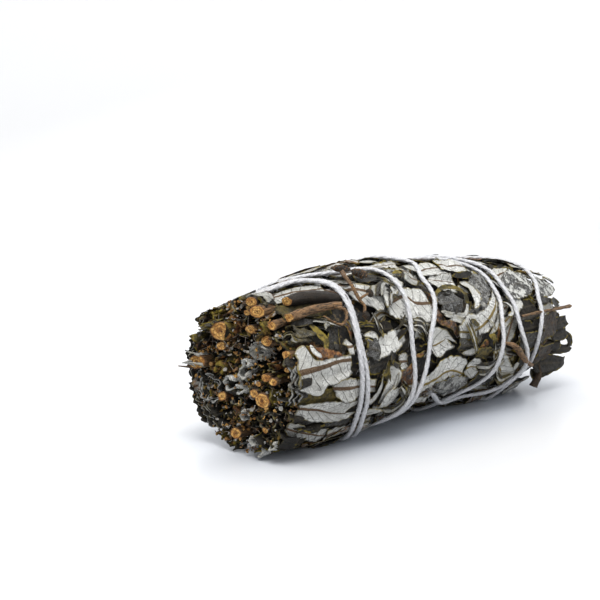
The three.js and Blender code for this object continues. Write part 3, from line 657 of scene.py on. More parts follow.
def both_faces(bunch, top, bottom, u, v, s, edge, face, looks, rolled=False):
    """Adds both faces of a sheet, each a grid of points. Edge is each point's millimetres from the margin."""
    rows, columns = top.shape[:2]
    tone, margin = looks.get("tone", 0.6), looks.get("margin", 0.7)
    wear = (looks.get("speck", 0.5), looks.get("rust", 0.0), looks.get("vein", 0.35))
    tint = (looks.get("olive", 0.0), looks.get("pied", 0.0), RNG.uniform())
    uv, share = (np.stack([np.broadcast_to(value, (rows, columns)) for value in pair], -1).reshape(-1, 2)
                 for pair in ((u, v), (s, edge)))
    n = rows * columns
    look = np.empty((2 * n, 3))
    look[:] = (0, tone, margin)
    look[:n, 0] = np.broadcast_to(face, (rows, columns)).ravel()
    look[n:, 0] = looks["back"] if "back" in looks else 1 - look[:n, 0]
    points = np.concatenate([top.reshape(-1, 3), bottom.reshape(-1, 3)])
    bunch.add(points, sheet_faces(rows, columns), np.tile(uv, (2, 1)), np.tile(share, (2, 1)), look, wear,
              tint, rolled)


def frayed(widths, u, seed, side, teeth, ragged):
    """Half widths of a leaf with a scalloped and torn margin, at places along it in millimetres."""
    scallop = teeth * (np.abs(np.sin(math.pi * (u / 1.7 + 0.37 * (seed % 7) + side))) - 0.6)
    tear = rough_noise(u / 1.3, 5 * side, seed)
    notch = np.clip(rough_noise(u / 2.6, 9 * side, seed + 5) - 0.35, 0, 1)
    frayed_by = (scallop + ragged * tear - 5 * ragged * notch) * np.clip(widths / 1.5, 0, 1)
    return np.maximum(widths + frayed_by, 0.06)


def by_side(t, first, second):
    """For each row and column, the row's first value before the midrib and its second one after it."""
    before = (t < 0).reshape(1, -1, *[1] * (first.ndim - 1))
    return np.where(before, first[:, None], second[:, None])


def columns_across(width, step):
    """An odd number of even places from -1 at one margin to 1 at the other."""
    return np.linspace(-1, 1, max(5, int(width / step)) | 1)


def torn_ends(u, v, length, seed, most, reach, ends=(1, 1)):
    """How far the torn ends push each point along the leaf."""
    near = np.clip(1 - u / reach, 0, 1) * ends[0] + np.clip(1 - (length - u) / reach, 0, 1) * ends[1]
    return (most * rough_noise(v / 1.2 + 11, 3, seed + 9) * near[:, None])[..., None]


def blade(bunch, rib, half_widths, face=PALE, ends=(0.4, 0.4), teeth=0.16, ragged=0.22, step=0.45, **options):
    """A leaf, or a strip of one, along a rib of places and angles. Ends say how blunt its two ends are."""
    seed = int(RNG.integers(1 << 30))
    line, s, length = stepped(on_flat(rib), step, 6)
    u = s * length
    along = unit(np.gradient(line, axis=0))
    across = np.stack([-along[:, 1], along[:, 0]], -1)
    t = columns_across(2 * np.max(half_widths), step)
    w = np.maximum(spline(half_widths, s)[:, 0], 0.1)
    for gap, blunt in ((u, ends[0]), (length - u, ends[1])):
        taper = np.sqrt(1 - (1 - np.clip(gap / (1.6 * w + 0.2), 0, 1)) ** 2)
        w = w * (blunt + (1 - blunt) * taper)
    v = by_side(t, *(frayed(w, u, seed, k, teeth, ragged) for k in (0, 1))) * t
    pushed = along[:, None] * torn_ends(u, v, length, seed, 0.9, 2.5, ends)
    flat = line[:, None] + across[:, None] * v[..., None] + pushed
    rest_on_pile(bunch, flat, u[:, None], v, s[:, None], t, face, step, seed, **options)


def patch(bunch, upper, lower, rib, face, teeth=0.22, ragged=0.3, step=0.42, **options):
    """A leaf between two margins, each a line of places and angles, with its midrib on a third."""
    seed = int(RNG.integers(1 << 30))
    length = max(even_spline(on_flat(line), 8)[1] for line in (upper, lower))
    rows = max(6, int(length / step))
    margins = [even_spline(on_flat(line), rows)[0] for line in (upper, lower)]
    middle = sum(margins) / 2
    if rib is not None:
        middle, length = even_spline(on_flat(rib), rows)
    s = np.linspace(0, 1, rows)
    u = s * length
    widths = []
    for k, margin in enumerate(margins):
        width = np.maximum(np.linalg.norm(margin - middle, axis=1), 0.05) + LAP
        widths.append(frayed(width, u, seed, k, teeth, ragged))
    t = columns_across(np.max(widths[0]) + np.max(widths[1]), step)
    v = by_side(t, *widths) * t
    away = by_side(t, *(unit(margin - middle) for margin in margins))
    pushed = unit(np.gradient(middle, axis=0))[:, None] * torn_ends(u, v, length, seed, 0.5, 2)
    flat = middle[:, None] + away * np.abs(v)[..., None] + pushed
    rest_on_pile(bunch, flat, u[:, None], v, s[:, None], t, face, step, seed, **options)


def rest_on_pile(bunch, flat, u, v, s, t, face, step, seed, curl=(0.3, 0.3), tilt=0.0, fold=0.0, wave=0.25,
                 lift=0.0, rise=(0.0, 0.0), **looks):
    """Drapes a sheet over the pile, with its folds, veins, waves and curled margins, and raises the pile."""
    x, angle = flat[..., 0], flat[..., 1] / MM_PER_DEGREE
    column_step = max(float(np.max(v) - np.min(v)) / v.shape[1], 0.05)
    height = drape(PILE.read(PILE.height, x, angle), STIFF_REACH / step, STIFF_REACH / column_step) + 0.07
    height = height + lift + wave * rough_noise(u / 5 + 3, v / 4, seed + 20)
    height = height + 0.35 * wave * rough_noise(u / 1.5, v / 1.5, seed + 30, 2)
    ribbed = looks.get("vein", 0.35) > 0
    row = (u - 0.75 * np.abs(v)) / SIDE_VEIN_SPACING + 0.5 * np.sign(v)
    height = height + 0.1 * np.abs(np.sin(math.pi * row)) * ribbed
    height = height + 0.22 * np.exp(-((v / 0.35) ** 2)) * ribbed
    height = height + fold * np.abs(t) ** 1.3 + tilt * t
    curls = np.where(t < 0, curl[0], curl[1]) * (0.75 + 0.5 * value_noise(u / 3, 0, seed + 40))
    height = height + curls * np.clip((np.abs(t) - 0.5) / 0.5, 0, 1) ** 2
    height = height + rise[0] * np.clip(1 - s / 0.3, 0, 1) ** 2 + rise[1] * np.clip((s - 0.7) / 0.3, 0, 1) ** 2
    thin = SHEET_THICKNESS * (1 - 0.45 * np.abs(t) ** 3)
    half = np.where(t < 0, -np.min(v, axis=1, keepdims=True), np.max(v, axis=1, keepdims=True))
    edge = np.minimum(half * (1 - np.abs(t)), np.minimum(u, np.max(u) - u))
    PILE.raise_to(finer(x), finer(angle), finer(height))
    top, bottom = (np.stack([x, angle, level], -1) for level in (height, height - thin))
    both_faces(bunch, top, bottom, u, v, s, edge, face, looks, rolled=True)


def strip(bunch, points, widths, twist=(0, 0), face=PALE, cup=0.3, step=0.5, **looks):
    """A strip of leaf through points in space, that turns about its line from one twist to another."""
    seed = int(RNG.integers(1 << 30))
    line, s, length = stepped(points, step, 5)
    _, normal, side = turning_frames(line)
    turn = np.radians(spline(twist, s))
    normal, side = (normal * np.cos(turn) + side * np.sin(turn), side * np.cos(turn) - normal * np.sin(turn))
    width = np.maximum(spline(widths, s)[:, 0], 0.1)
    columns = max(3, int(2 * np.max(width) / step)) | 1
    t = np.linspace(-1, 1, columns)
    u = s[:, None] * length
    v = (width[:, None] + 0.2 * rough_noise(u / 1.3, np.sign(t)[None, :] * 3, seed)) * t
    bend = cup * v**2 / np.maximum(np.max(width), 1) + 0.3 * rough_noise(u / 3, v / 3, seed + 3)
    top = line[:, None] + side[:, None] * v[..., None] + normal[:, None] * bend[..., None]
    bottom = top - normal[:, None] * SHEET_THICKNESS
    both_faces(bunch, top, bottom, u, v, s[:, None], width[:, None] * (1 - np.abs(t)), face, looks)


def turning_frames(line):
    """Tangent, normal and side along a line, with the least turning about it."""
    tangent = unit(np.gradient(line, axis=0))
    normals = [unit(np.cross(tangent[0], (0.31, 0.22, 0.93)))]
    for way in tangent[1:]:
        normals.append(unit(normals[-1] - way * np.dot(normals[-1], way)))
    normal = np.array(normals)
    return tangent, normal, np.cross(tangent, normal)


def scroll(bunch, points, radii, turns, start, **looks):
    """A dark leaf rolled up about a line through points in space, like a loose, flattened tube."""
    seed = int(RNG.integers(1 << 30))
    step, squash = 0.5, 0.85
    line, s, length = stepped(points, step, 5)
    s = s[:, None]
    tangent, normal, side = turning_frames(line)
    radius = spline(radii, s[:, 0])
    columns = max(8, int(2 * math.pi * np.max(radius) * turns / step))
    w = np.linspace(0, 1, columns)[None, :]
    a = np.radians(start) + 2 * math.pi * turns * w
    r = radius * (1 - 0.28 * w * turns) + 0.22 * rough_noise(s * length / 2.2, w * 6, seed)
    end = 0.9 * rough_noise(w * 7, 2, seed + 4) * (np.clip(1 - 3 * s, 0, 1) - np.clip(3 * s - 2, 0, 1))
    spoke = normal[:, None] * np.cos(a)[..., None] + squash * side[:, None] * np.sin(a)[..., None]
    middle = line[:, None] + tangent[:, None] * end[..., None]
    top = middle + spoke * r[..., None]
    bottom = middle + spoke * (r - SHEET_THICKNESS)[..., None]
    edge = length * np.minimum(s, 1 - s)
    both_faces(bunch, top, bottom, s * length, (w - 0.5) * 8, s, edge, DARK, looks)


# Wood
SHEAR = 0.55
SLANT = 0.2
FACE_RINGS = [1.0, 0.93, 0.75, 0.5, 0.25, 0.02]


def tube(bunch, points, radii, sides, rough=0.06, cut=(True, True), tone=0.8, shear=0.0, step=0.6):
    """A stem or twig through points, with bark on its side and a cut face at each end. Shear slants the first
    face towards the camera's side."""
    seed = int(RNG.integers(1 << 30))
    line, s, length = stepped(points, step, 4)
    rows = len(s)
    radius = spline(radii, s)
    tangent, normal, side = turning_frames(line)
    a = 2 * math.pi * np.arange(sides)[None, :] / sides
    ridges = rough_noise(s[:, None] * length / 2.5, 1.8 * np.cos(a) + 5, seed)
    ridges = ridges + 0.6 * rough_noise(s[:, None] * length / 6 + 3 * np.sin(a), 3 * np.cos(a), seed + 7)
    r = radius * (1 + rough * 2 * ridges)
    spoke = normal[:, None] * np.cos(a)[..., None] + side[:, None] * np.sin(a)[..., None]
    walls = line[:, None] + spoke * r[..., None]
    draw = RNG.uniform()
    ends = []
    for k, sign in ((0, -1), (-1, 1)):
        lean = RNG.uniform(-SLANT, SLANT, 2)
        lean_way = lean[0] * normal[k] + lean[1] * side[k] + np.array([0, shear * (k == 0), 0])
        ends.append((k, sign, lean_way))
        gone = np.abs(s - s[k]) * length
        fade = np.clip(1 - gone / (2.5 * radius[k] + 0.1), 0, 1)[:, None]
        walls = walls + sign * tangent[k] * ((spoke * r[..., None]) @ lean_way * fade)[..., None]
    bunch.add(walls.reshape(-1, 3), grid_faces(rows, sides, True), look=(0, tone, 0), wear=(1, draw, 0))
    for is_cut, (k, sign, lean_way) in zip(cut, ends):
        rings, look, wear = [], [], []
        for share in FACE_RINGS:
            flat = spoke[k] * (r[k] * share)[:, None]
            grain = 0.05 * RNG.uniform(-1, 1, sides) * radius[0] * (share < 1)
            push = flat @ lean_way + grain + (0.05 * radius[0] if share < 0.95 else 0)
            rings.append(line[k] + flat + sign * tangent[k] * push[:, None])
            look += [(float(is_cut) * (share < 1), tone * is_cut, 0)] * sides
            wear += [(share, draw, 0)] * sides
        faces = grid_faces(len(FACE_RINGS), sides, True)
        bunch.add(np.concatenate(rings), faces if sign < 0 else faces[:, ::-1], look=look, wear=wear)


# Pieces
SPRIG_PIECES = [Bunch() for _ in range(SPRIGS)]
DARK_PIECES = {k: Bunch() for k in range(1, 10)}


def sprig_of(angle):
    return SPRIG_PIECES[int((angle % 360) // (360 / SPRIGS))]


def lay(rib, half_widths, face=PALE, piece=None, **options):
    """Lays a leaf along its midrib, in its sprig's piece unless another is given."""
    middle = rib[len(rib) // 2][1]
    blade(piece or sprig_of(middle), rib, half_widths, face, **options)


def heading_step(half, heading):
    """Half a leaf's length as a step along the roll and a step in degrees round it."""
    return half * math.cos(heading), half * math.sin(heading) / MM_PER_DEGREE


def lay_under(count, low_x, high_x, from_angle, to_angle, level, share_dark):
    """Packed leaves under the ones that show."""
    for _ in range(count):
        x, angle = RNG.uniform(low_x, high_x), RNG.uniform(from_angle, to_angle)
        heading, half = math.radians(RNG.normal(0, 28)), RNG.uniform(3.5, 9)
        du, dv = heading_step(half, heading)
        bend = RNG.normal(0, 6)
        width = RNG.uniform(0.7, 2.8)
        lay([(x - du, angle - dv), (x, angle + bend), (x + du, angle + dv)], [width * 0.6, width, width * 0.5],
            face=DARK if RNG.uniform() < share_dark else PALE, lift=level + RNG.uniform(-0.3, 0.3),
            curl=RNG.uniform(-0.2, 0.8, 2), tilt=RNG.uniform(-0.6, 0.6), fold=RNG.uniform(-0.3, 0.5),
            tone=RNG.uniform(0.1, 0.8), margin=RNG.uniform(0.3, 1), speck=RNG.uniform(0, 0.4),
            rust=RNG.choice([0, 0, 0, 0.7]), olive=RNG.choice([0, 0, 0, 0.6]), ends=RNG.uniform(0.2, 0.9, 2),
            step=0.55)


lay_under(90, -48, 46, -5, 155, -0.9, 0.6)
lay_under(80, -48, 46, 150, 360, -0.9, 0.6)
lay_under(12, -48, -42, 275, 345, -0.6, 0.8)


# Leaves that show on the camera's side. Points are a place along the roll and an angle round it.
def leaf(upper, lower, rib=None, face=PALE, piece=None, **options):
    """Lays a leaf given by its two margins and its midrib, in its sprig's piece unless another is given."""
    middle = upper[len(upper) // 2][1]
    patch(piece or sprig_of(middle), upper, lower, rib, face, **options)


def lay_stem_end():
    # dark band under the lowest leaves, and a grey-green one between the pale leaves
    leaf([(-49, 117), (-40, 121), (-31, 126)], [(-48, 128), (-40, 133), (-31, 138)], face=DARK, tone=0.1)
    leaf([(-49, 94), (-42, 96), (-36, 100)], [(-49, 103), (-43, 105), (-37, 107)], face=DARK, tone=0.4,
         olive=0.5, speck=0.1)
    # creamy leaf whose brown midrib runs down to the right
    leaf([(-49, 105), (-44, 104), (-38, 107), (-31, 112)], [(-49, 111), (-42, 119), (-36, 122), (-31, 120)],
         rib=[(-49, 106), (-44, 109), (-40, 114), (-35, 118)], tone=0.85, vein=0.4, lift=0.2)
    # paler leaves low down
    leaf([(-50, 119), (-44, 124), (-38, 130)], [(-49, 130), (-43, 137), (-38, 141)],
         rib=[(-50, 124), (-44, 130), (-38, 135)], tone=0.6)
    leaf([(-38, 130), (-31, 134), (-24, 141)], [(-38, 139), (-31, 145), (-25, 150)],
         rib=[(-38, 134), (-31, 139), (-24, 145)], tone=0.5)
    # grey leaf with a brown midrib, running in under the string
    leaf([(-41, 93), (-37, 92), (-31, 97), (-27, 99)], [(-40, 99), (-37, 105), (-31, 106), (-27, 106)],
         rib=[(-41, 95), (-35, 98), (-27, 103)], tone=0.8, vein=0.4, lift=0.2)
    # dark plate with golden edges
    leaf([(-43, 52), (-40, 54), (-36, 55)], [(-43, 70), (-39, 74), (-35, 73)],
         rib=[(-38, 54), (-38, 64), (-38, 73)], face=DARK, margin=1, tone=0.3, speck=0.2, lift=0.4,
         curl=(0.2, 0.6), piece=DARK_PIECES[1])
    lay([(-44, 50), (-42.5, 58), (-42, 65), (-43.5, 70)], [0.4, 0.8, 0.9, 0.5], face=DARK, tone=0.5, olive=1,
        speck=0, lift=0.7, vein=0, piece=DARK_PIECES[1])
    # rusty leaf under the plate, with a pale curled lip at its left
    leaf([(-46.5, 64), (-44, 68), (-39, 73)], [(-45, 75), (-42, 77), (-38, 76)], face=DARK, tone=0.5, rust=0.9,
         vein=0, lift=0.4, piece=DARK_PIECES[9])
    lay([(-46.5, 64), (-46, 69), (-44.5, 73)], [0.4, 0.6, 0.4], tone=0.9, lift=0.9, vein=0, margin=0.2)
    # first pale leaf, with a high lobe at the left and its margin curled up below
    leaf([(-50, 68), (-48, 65), (-46, 74), (-41, 76), (-36, 77)],
         [(-50, 90), (-47, 94), (-43.5, 92), (-40, 89), (-35.5, 86)],
         rib=[(-50, 80), (-45, 79), (-40, 77.5), (-36, 79)], tone=0.9, vein=0.6, lift=0.6, curl=(0.3, 0.5))
    lay([(-48.5, 90), (-47, 94), (-45, 94), (-44.5, 89)], [0.3, 0.5, 0.5, 0.3], tone=1, lift=1.2, vein=0,
        margin=0)
    # small pale boss, rumpled brown strip and grey tuft beside the first turn
    leaf([(-37, 68), (-35, 67), (-34, 69)], [(-37, 73), (-35.5, 75), (-34, 73)], fold=-0.6, tone=0.9, lift=0.7)
    lay([(-35, 54), (-33.5, 58), (-34, 63), (-35, 67)], [0.5, 0.9, 0.8, 0.4], face=DARK, tone=0.9, rust=1,
        lift=0.7, vein=0, wave=0.6)
    # olive and brown leaves over the stems, near the top
    leaf([(-48, 30), (-42, 32), (-36, 36)], [(-48, 42), (-42, 45), (-36, 46)], face=DARK, tone=0.3, olive=0.3,
         speck=0.1)
    leaf([(-46, 12), (-39, 15), (-32, 20)], [(-47, 24), (-40, 27), (-33, 30)],
         rib=[(-46, 18), (-40, 21), (-33, 25)], tone=0.6)
    leaf([(-44, -4), (-36, 0), (-29, 6)], [(-44, 8), (-36, 11), (-30, 16)], face=DARK, tone=0.2, speck=0.2)


def lay_first_turns():
    # black leaf in the hollow, its black painted shade of the hollow, and the brown-grey leaf that lies along
    # under the pale ones
    leaf([(-31, 57), (-26, 60), (-20, 63)], [(-31, 66), (-25, 70), (-19, 71)], **BLACK)
    leaf([(-30, 84), (-25, 84), (-20, 83)], [(-29, 93), (-25, 93), (-19, 93)], face=DARK, tone=0.3, speck=0.2)
    # pale leaf with two pointed ends
    leaf([(-28, 30), (-24, 31), (-20.5, 36), (-18.5, 39)], [(-28, 40), (-25, 46), (-22, 53), (-20, 50)],
         rib=[(-28, 32), (-25, 34), (-20, 42), (-18.5, 43)], tone=0.95, vein=0.5, lift=0.2)
    # long pale leaf under two turns of string
    leaf([(-20, 51), (-16, 43), (-9.5, 43), (-5, 45)], [(-20, 56), (-17, 62), (-12, 67), (-5, 70)],
         rib=[(-19, 50), (-12.5, 47), (-10, 54), (-5, 56)], tone=1, vein=0.6, lift=0.4)
    # leaf folded along its midrib, with its tip hanging down
    lay([(-14, 32), (-18, 39), (-20, 47), (-21, 54)], [0.7, 1.2, 0.9, 0.4], tone=0.9, lift=1.0, vein=0,
        tilt=-0.4)
    lay([(-11, 33), (-14.5, 40), (-18, 46), (-20.5, 54)], [1.6, 1.4, 1.0, 0.4], tone=1, lift=1.1, vein=0,
        tilt=0.4)
    # speckled leaves near the top, one with a golden streak
    leaf([(-21, 17), (-17, 18), (-14, 22)], [(-22, 26), (-18, 28), (-15, 29)], face=DARK, tone=0.2, speck=0.3)
    leaf([(-15, 19), (-11, 16), (-7, 20)], [(-14, 28), (-11, 31), (-8, 29)],
         rib=[(-14, 23), (-11, 23), (-7, 25)], face=DARK, tone=0.8, speck=0.6, pied=0.4, lift=0.2)
    lay([(-12.5, 30), (-10, 29), (-7.5, 27)], [0.3, 0.7, 0.3], face=DARK, olive=1, tone=1, speck=0, vein=0,
        lift=0.7)
    leaf([(-7, 20), (-4, 22), (-3, 30)], [(-9, 33), (-6, 38), (-3, 37)], tone=0.5, margin=0.6)
    lay([(-6, 40), (-4, 38), (-2.5, 40)], [0.3, 0.6, 0.3], **BLACK, vein=0, lift=0.5)
    leaf([(-25, 2), (-18, 3), (-10, 4), (-3, 2)], [(-24, 14), (-18, 14), (-11, 14), (-4, 14)],
         rib=[(-25, 7), (-14, 8), (-3, 8)], tone=0.85)
    # net-veined pale leaf
    leaf([(-27, 73), (-21, 70), (-16.5, 71)], [(-27.5, 83), (-21.5, 82), (-16, 77)], tone=0.9, vein=0,
         lift=0.5, curl=(0.2, 0.7))
    # bits between the second and third turns
    leaf([(-13, 72), (-10, 71), (-7.5, 73)], [(-13, 77), (-11, 78), (-8.5, 77)], tone=0.9, vein=0, lift=0.3)
    lay([(-12, 76), (-10.5, 80), (-9.5, 83)], [0.5, 0.8, 0.4], face=DARK, olive=0.8, tone=0.9, vein=0,
        lift=0.5)
    leaf([(-14, 84), (-11, 85), (-9, 86)], [(-14, 91), (-11, 92), (-9, 92)], **BLACK)
    lay([(-14.5, 91), (-12, 91), (-9.5, 90)], [0.3, 0.6, 0.4], face=DARK, rust=1, tone=1, vein=0, lift=0.4)
    leaf([(-20, 87), (-17.5, 88), (-16, 91)], [(-19.5, 95), (-17.5, 97), (-16, 96)], tone=0.8, fold=0.6)
    # crescent, dark curl and mottled patch beside the first turn
    lay([(-29.5, 66), (-27.5, 68), (-26.5, 73)], [0.5, 0.9, 0.4], tone=1, lift=0.5, vein=0)
    lay([(-30, 59), (-27, 62), (-25, 67), (-25, 72)], [0.3, 0.5, 0.5, 0.3], face=DARK, tone=0.9, speck=0.3,
        vein=0, lift=0.6)
    leaf([(-29.5, 70), (-27, 73), (-26.5, 78)], [(-29.5, 80), (-27.5, 83), (-26.5, 82)], face=DARK, tone=0.6,
         speck=0.8, fold=-0.4)


def lay_hanging_leaves():
    """Leaves that hang down side by side below the first turns, and the crumbs beside them."""
    leaf([(-20, 99), (-17, 97), (-14, 96)], [(-19, 111), (-16, 111), (-13, 110)], face=DARK, rust=0.7,
         tone=0.8, speck=0.5, vein=0, wave=0.6)
    lay([(-25, 92), (-26, 104), (-27.5, 117)], [0.4, 1.3, 1.5], tone=0.85, vein=0, lift=0.5, tilt=0.4)
    lay([(-23, 91), (-21.5, 99), (-23, 107), (-25, 116)], [0.6, 1.5, 1.5, 1.3], tone=0.9, vein=0, lift=0.6,
        tilt=-0.4)
    leaf([(-24, 108), (-21, 108), (-17.5, 109)], [(-26, 119), (-22, 121), (-18.5, 120)], tone=0.8, vein=0,
         lift=0.5, margin=0.6)
    lay([(-17, 110), (-17.5, 115), (-19, 120)], [0.4, 0.7, 0.4], face=DARK, olive=1, tone=1, speck=0, vein=0,
        lift=0.9)
    leaf([(-28, 119), (-25, 121), (-23, 124)], [(-29, 130), (-27, 133), (-25, 131)],
         rib=[(-28, 125), (-24, 127)], tone=0.7, lift=0.3)


def lay_middle():
    # pale leaf with a golden line beside the third turn
    leaf([(-8, 75), (-4, 77), (-1, 83), (1, 88)], [(-8, 87), (-5.5, 95), (-2, 92), (0.5, 90)],
         rib=[(-7, 88), (-4.5, 86), (-2, 83)], tone=1, olive=1, vein=0.25, lift=0.3)
    # two rows of white leaves at the top
    leaf([(-2, 15), (3, 13), (8, 14)], [(1, 28), (5, 29), (9, 30)], tone=1, lift=0.2)
    leaf([(8, 16), (13, 14), (19, 16)], [(7, 26), (12, 29), (17, 28)], tone=1, lift=0.4, margin=0.9)
    leaf([(1, 32), (5, 33), (9, 33)], [(2, 46), (5, 48), (9, 46)], rib=[(0, 33), (4, 36), (9, 38)], tone=1,
         vein=0.2, lift=0.2)
    lay([(7, 47), (10, 46), (12, 49)], [0.6, 1.2, 0.6], tone=1, lift=0.3, vein=0)
    # rusty tuft left of the boss
    leaf([(-5, 60), (-3, 61), (-2, 64)], [(-5, 70), (-3, 72), (-1, 70)], face=DARK, tone=0.6, rust=0.6,
         speck=0.5)
    # speckled boss, domed, with layered rims below it
    leaf([(-2, 57), (0, 50), (4, 48), (6.5, 54)], [(-2, 62), (1, 67), (4, 66), (6.5, 60)], face=DARK, tone=0.9,
         speck=1, fold=-1.3, lift=1.0, vein=0.2, piece=DARK_PIECES[2])
    for line, widths, looks in (
        ([(-2, 50), (1, 46), (5, 46), (8, 51), (8, 60)], [0.4, 0.7, 0.5], {"face": DARK, "olive": 0.7}),
        ([(-3, 64), (1, 68), (5, 68), (7, 60)], [0.4, 0.7, 0.4], {"tone": 1}),
        ([(-3, 67), (1, 70), (4, 73)], [0.4, 0.6, 0.4], {"tone": 0.7}),
        ([(-2, 71), (1, 72), (3.5, 76)], [0.3, 0.6, 0.4], {"tone": 0.9}),
        ([(-5, 72), (-2, 74), (0.5, 79), (1.5, 84)], [0.4, 0.9, 0.9, 0.4], {"face": DARK, "rust": 0.5}),
    ):
        lay(line, widths, lift=0.6, vein=0, margin=0.3, curl=(0.5, 0.3), **looks)
    # big speckled crescent, with a white one inside it
    leaf([(17, 31), (22, 34), (22, 45), (18.5, 54), (14, 64), (7, 69)],
         [(15, 36), (14.5, 42), (13.5, 48), (12.5, 56), (9, 64), (7, 66)], face=DARK, tone=0.9, speck=1,
         pied=0.3, fold=-0.5, lift=0.4, vein=0.25, piece=DARK_PIECES[3])
    lay([(9, 42), (12, 45), (12.5, 52), (11, 60), (9, 64)], [0.6, 1.3, 1.5, 1.0, 0.4], tone=1, lift=0.6,
        curl=(0.6, 0.2), vein=0)
    lay([(9, 34), (13, 34), (17, 32)], [0.5, 1.2, 0.5], face=DARK, tone=0, speck=0.1, lift=0.3, vein=0)
    # pale crescent below it, with a golden midrib, and a thin outer one
    leaf([(21.5, 47), (16.5, 61), (11, 68), (4, 71), (0.5, 78)],
         [(22.5, 52), (20, 61), (16.5, 70), (13, 79), (6, 86), (1.5, 84)],
         rib=[(22, 50), (19, 61), (14, 72), (10, 78), (6, 81), (1, 80)], tone=1, olive=1, vein=0.4, lift=0.6)
    lay([(17.5, 69), (15.5, 77), (12, 84)], [0.3, 0.8, 0.4], tone=0.6, lift=0.5, vein=0)
    # speckled, olive and rusty leaves under the crescent
    leaf([(1, 86), (6, 87), (10, 85)], [(2, 93), (7, 95), (10, 92)], face=DARK, tone=0.8, speck=0.8, olive=0.1)
    lay([(3, 96), (6, 95), (8.5, 93)], [0.4, 1.0, 0.5], tone=1, lift=0.2, vein=0)
    lay([(9, 93), (11.5, 90), (13, 91)], [0.5, 1.1, 0.5], face=DARK, rust=1, tone=1, speck=0, lift=0.5, vein=0)
    lay([(11.5, 84), (14.5, 87), (15, 92)], [0.4, 0.8, 0.5], face=DARK, olive=1, tone=0.9, speck=0, lift=0.4,
        vein=0)
    leaf([(8, 95), (12, 94), (14, 97)], [(8, 102), (11, 100), (14, 104)], face=DARK, tone=0.3, olive=0.5,
         speck=0.2)


def lay_lower_middle():
    # pale leaf with a golden margin and midrib
    leaf([(-10, 112), (-6, 106), (-4.5, 101), (0, 99), (4, 101), (6, 106)],
         [(-10, 122), (-5, 117), (0, 114), (5, 116)],
         rib=[(-10, 117), (-5, 113), (-1, 109), (2, 110), (5, 113)], tone=1, olive=1, vein=0.4, margin=0.9,
         lift=0.4)
    # rounded pale leaf beyond it
    leaf([(6, 107), (7.5, 102), (10.5, 103), (13, 109)], [(6, 112), (8, 117), (11, 121), (13, 117)],
         rib=[(5.5, 108), (9.5, 108)], tone=0.8, olive=1, vein=0.3, margin=0.8, lift=0.3, fold=-0.5)
    # dark mottled leaf under them
    leaf([(-5, 118), (0, 115), (5, 116), (9, 120)], [(-3, 126), (1, 132), (5, 133), (9, 129)], face=DARK,
         tone=0.9, speck=1, pied=0.5, fold=-0.4, lift=0.2)
    leaf([(12, 112), (16, 112), (19, 120)], [(10, 126), (15, 128), (20, 132)], face=DARK, tone=0.3, speck=0.3)
    # leaf folded about its broad golden midrib
    leaf([(17.5, 96), (22.5, 109), (26.5, 119), (28, 132)], [(15, 97), (15.5, 105), (20.5, 120), (26, 134)],
         rib=[(16, 98), (17.5, 103), (20, 113), (25, 130)], tone=0.95, olive=1, vein=0.7, fold=0.7, lift=0.5,
         margin=0.6)
    leaf([(-20, 126), (-12, 127), (-5, 128)], [(-20, 138), (-12, 140), (-5, 140)], rib=[(-20, 132), (-5, 134)],
         tone=0.6)
    leaf([(24, 132), (32, 126), (38, 124)], [(26, 142), (33, 138), (39, 136)], face=DARK, tone=0.2, speck=0.2)


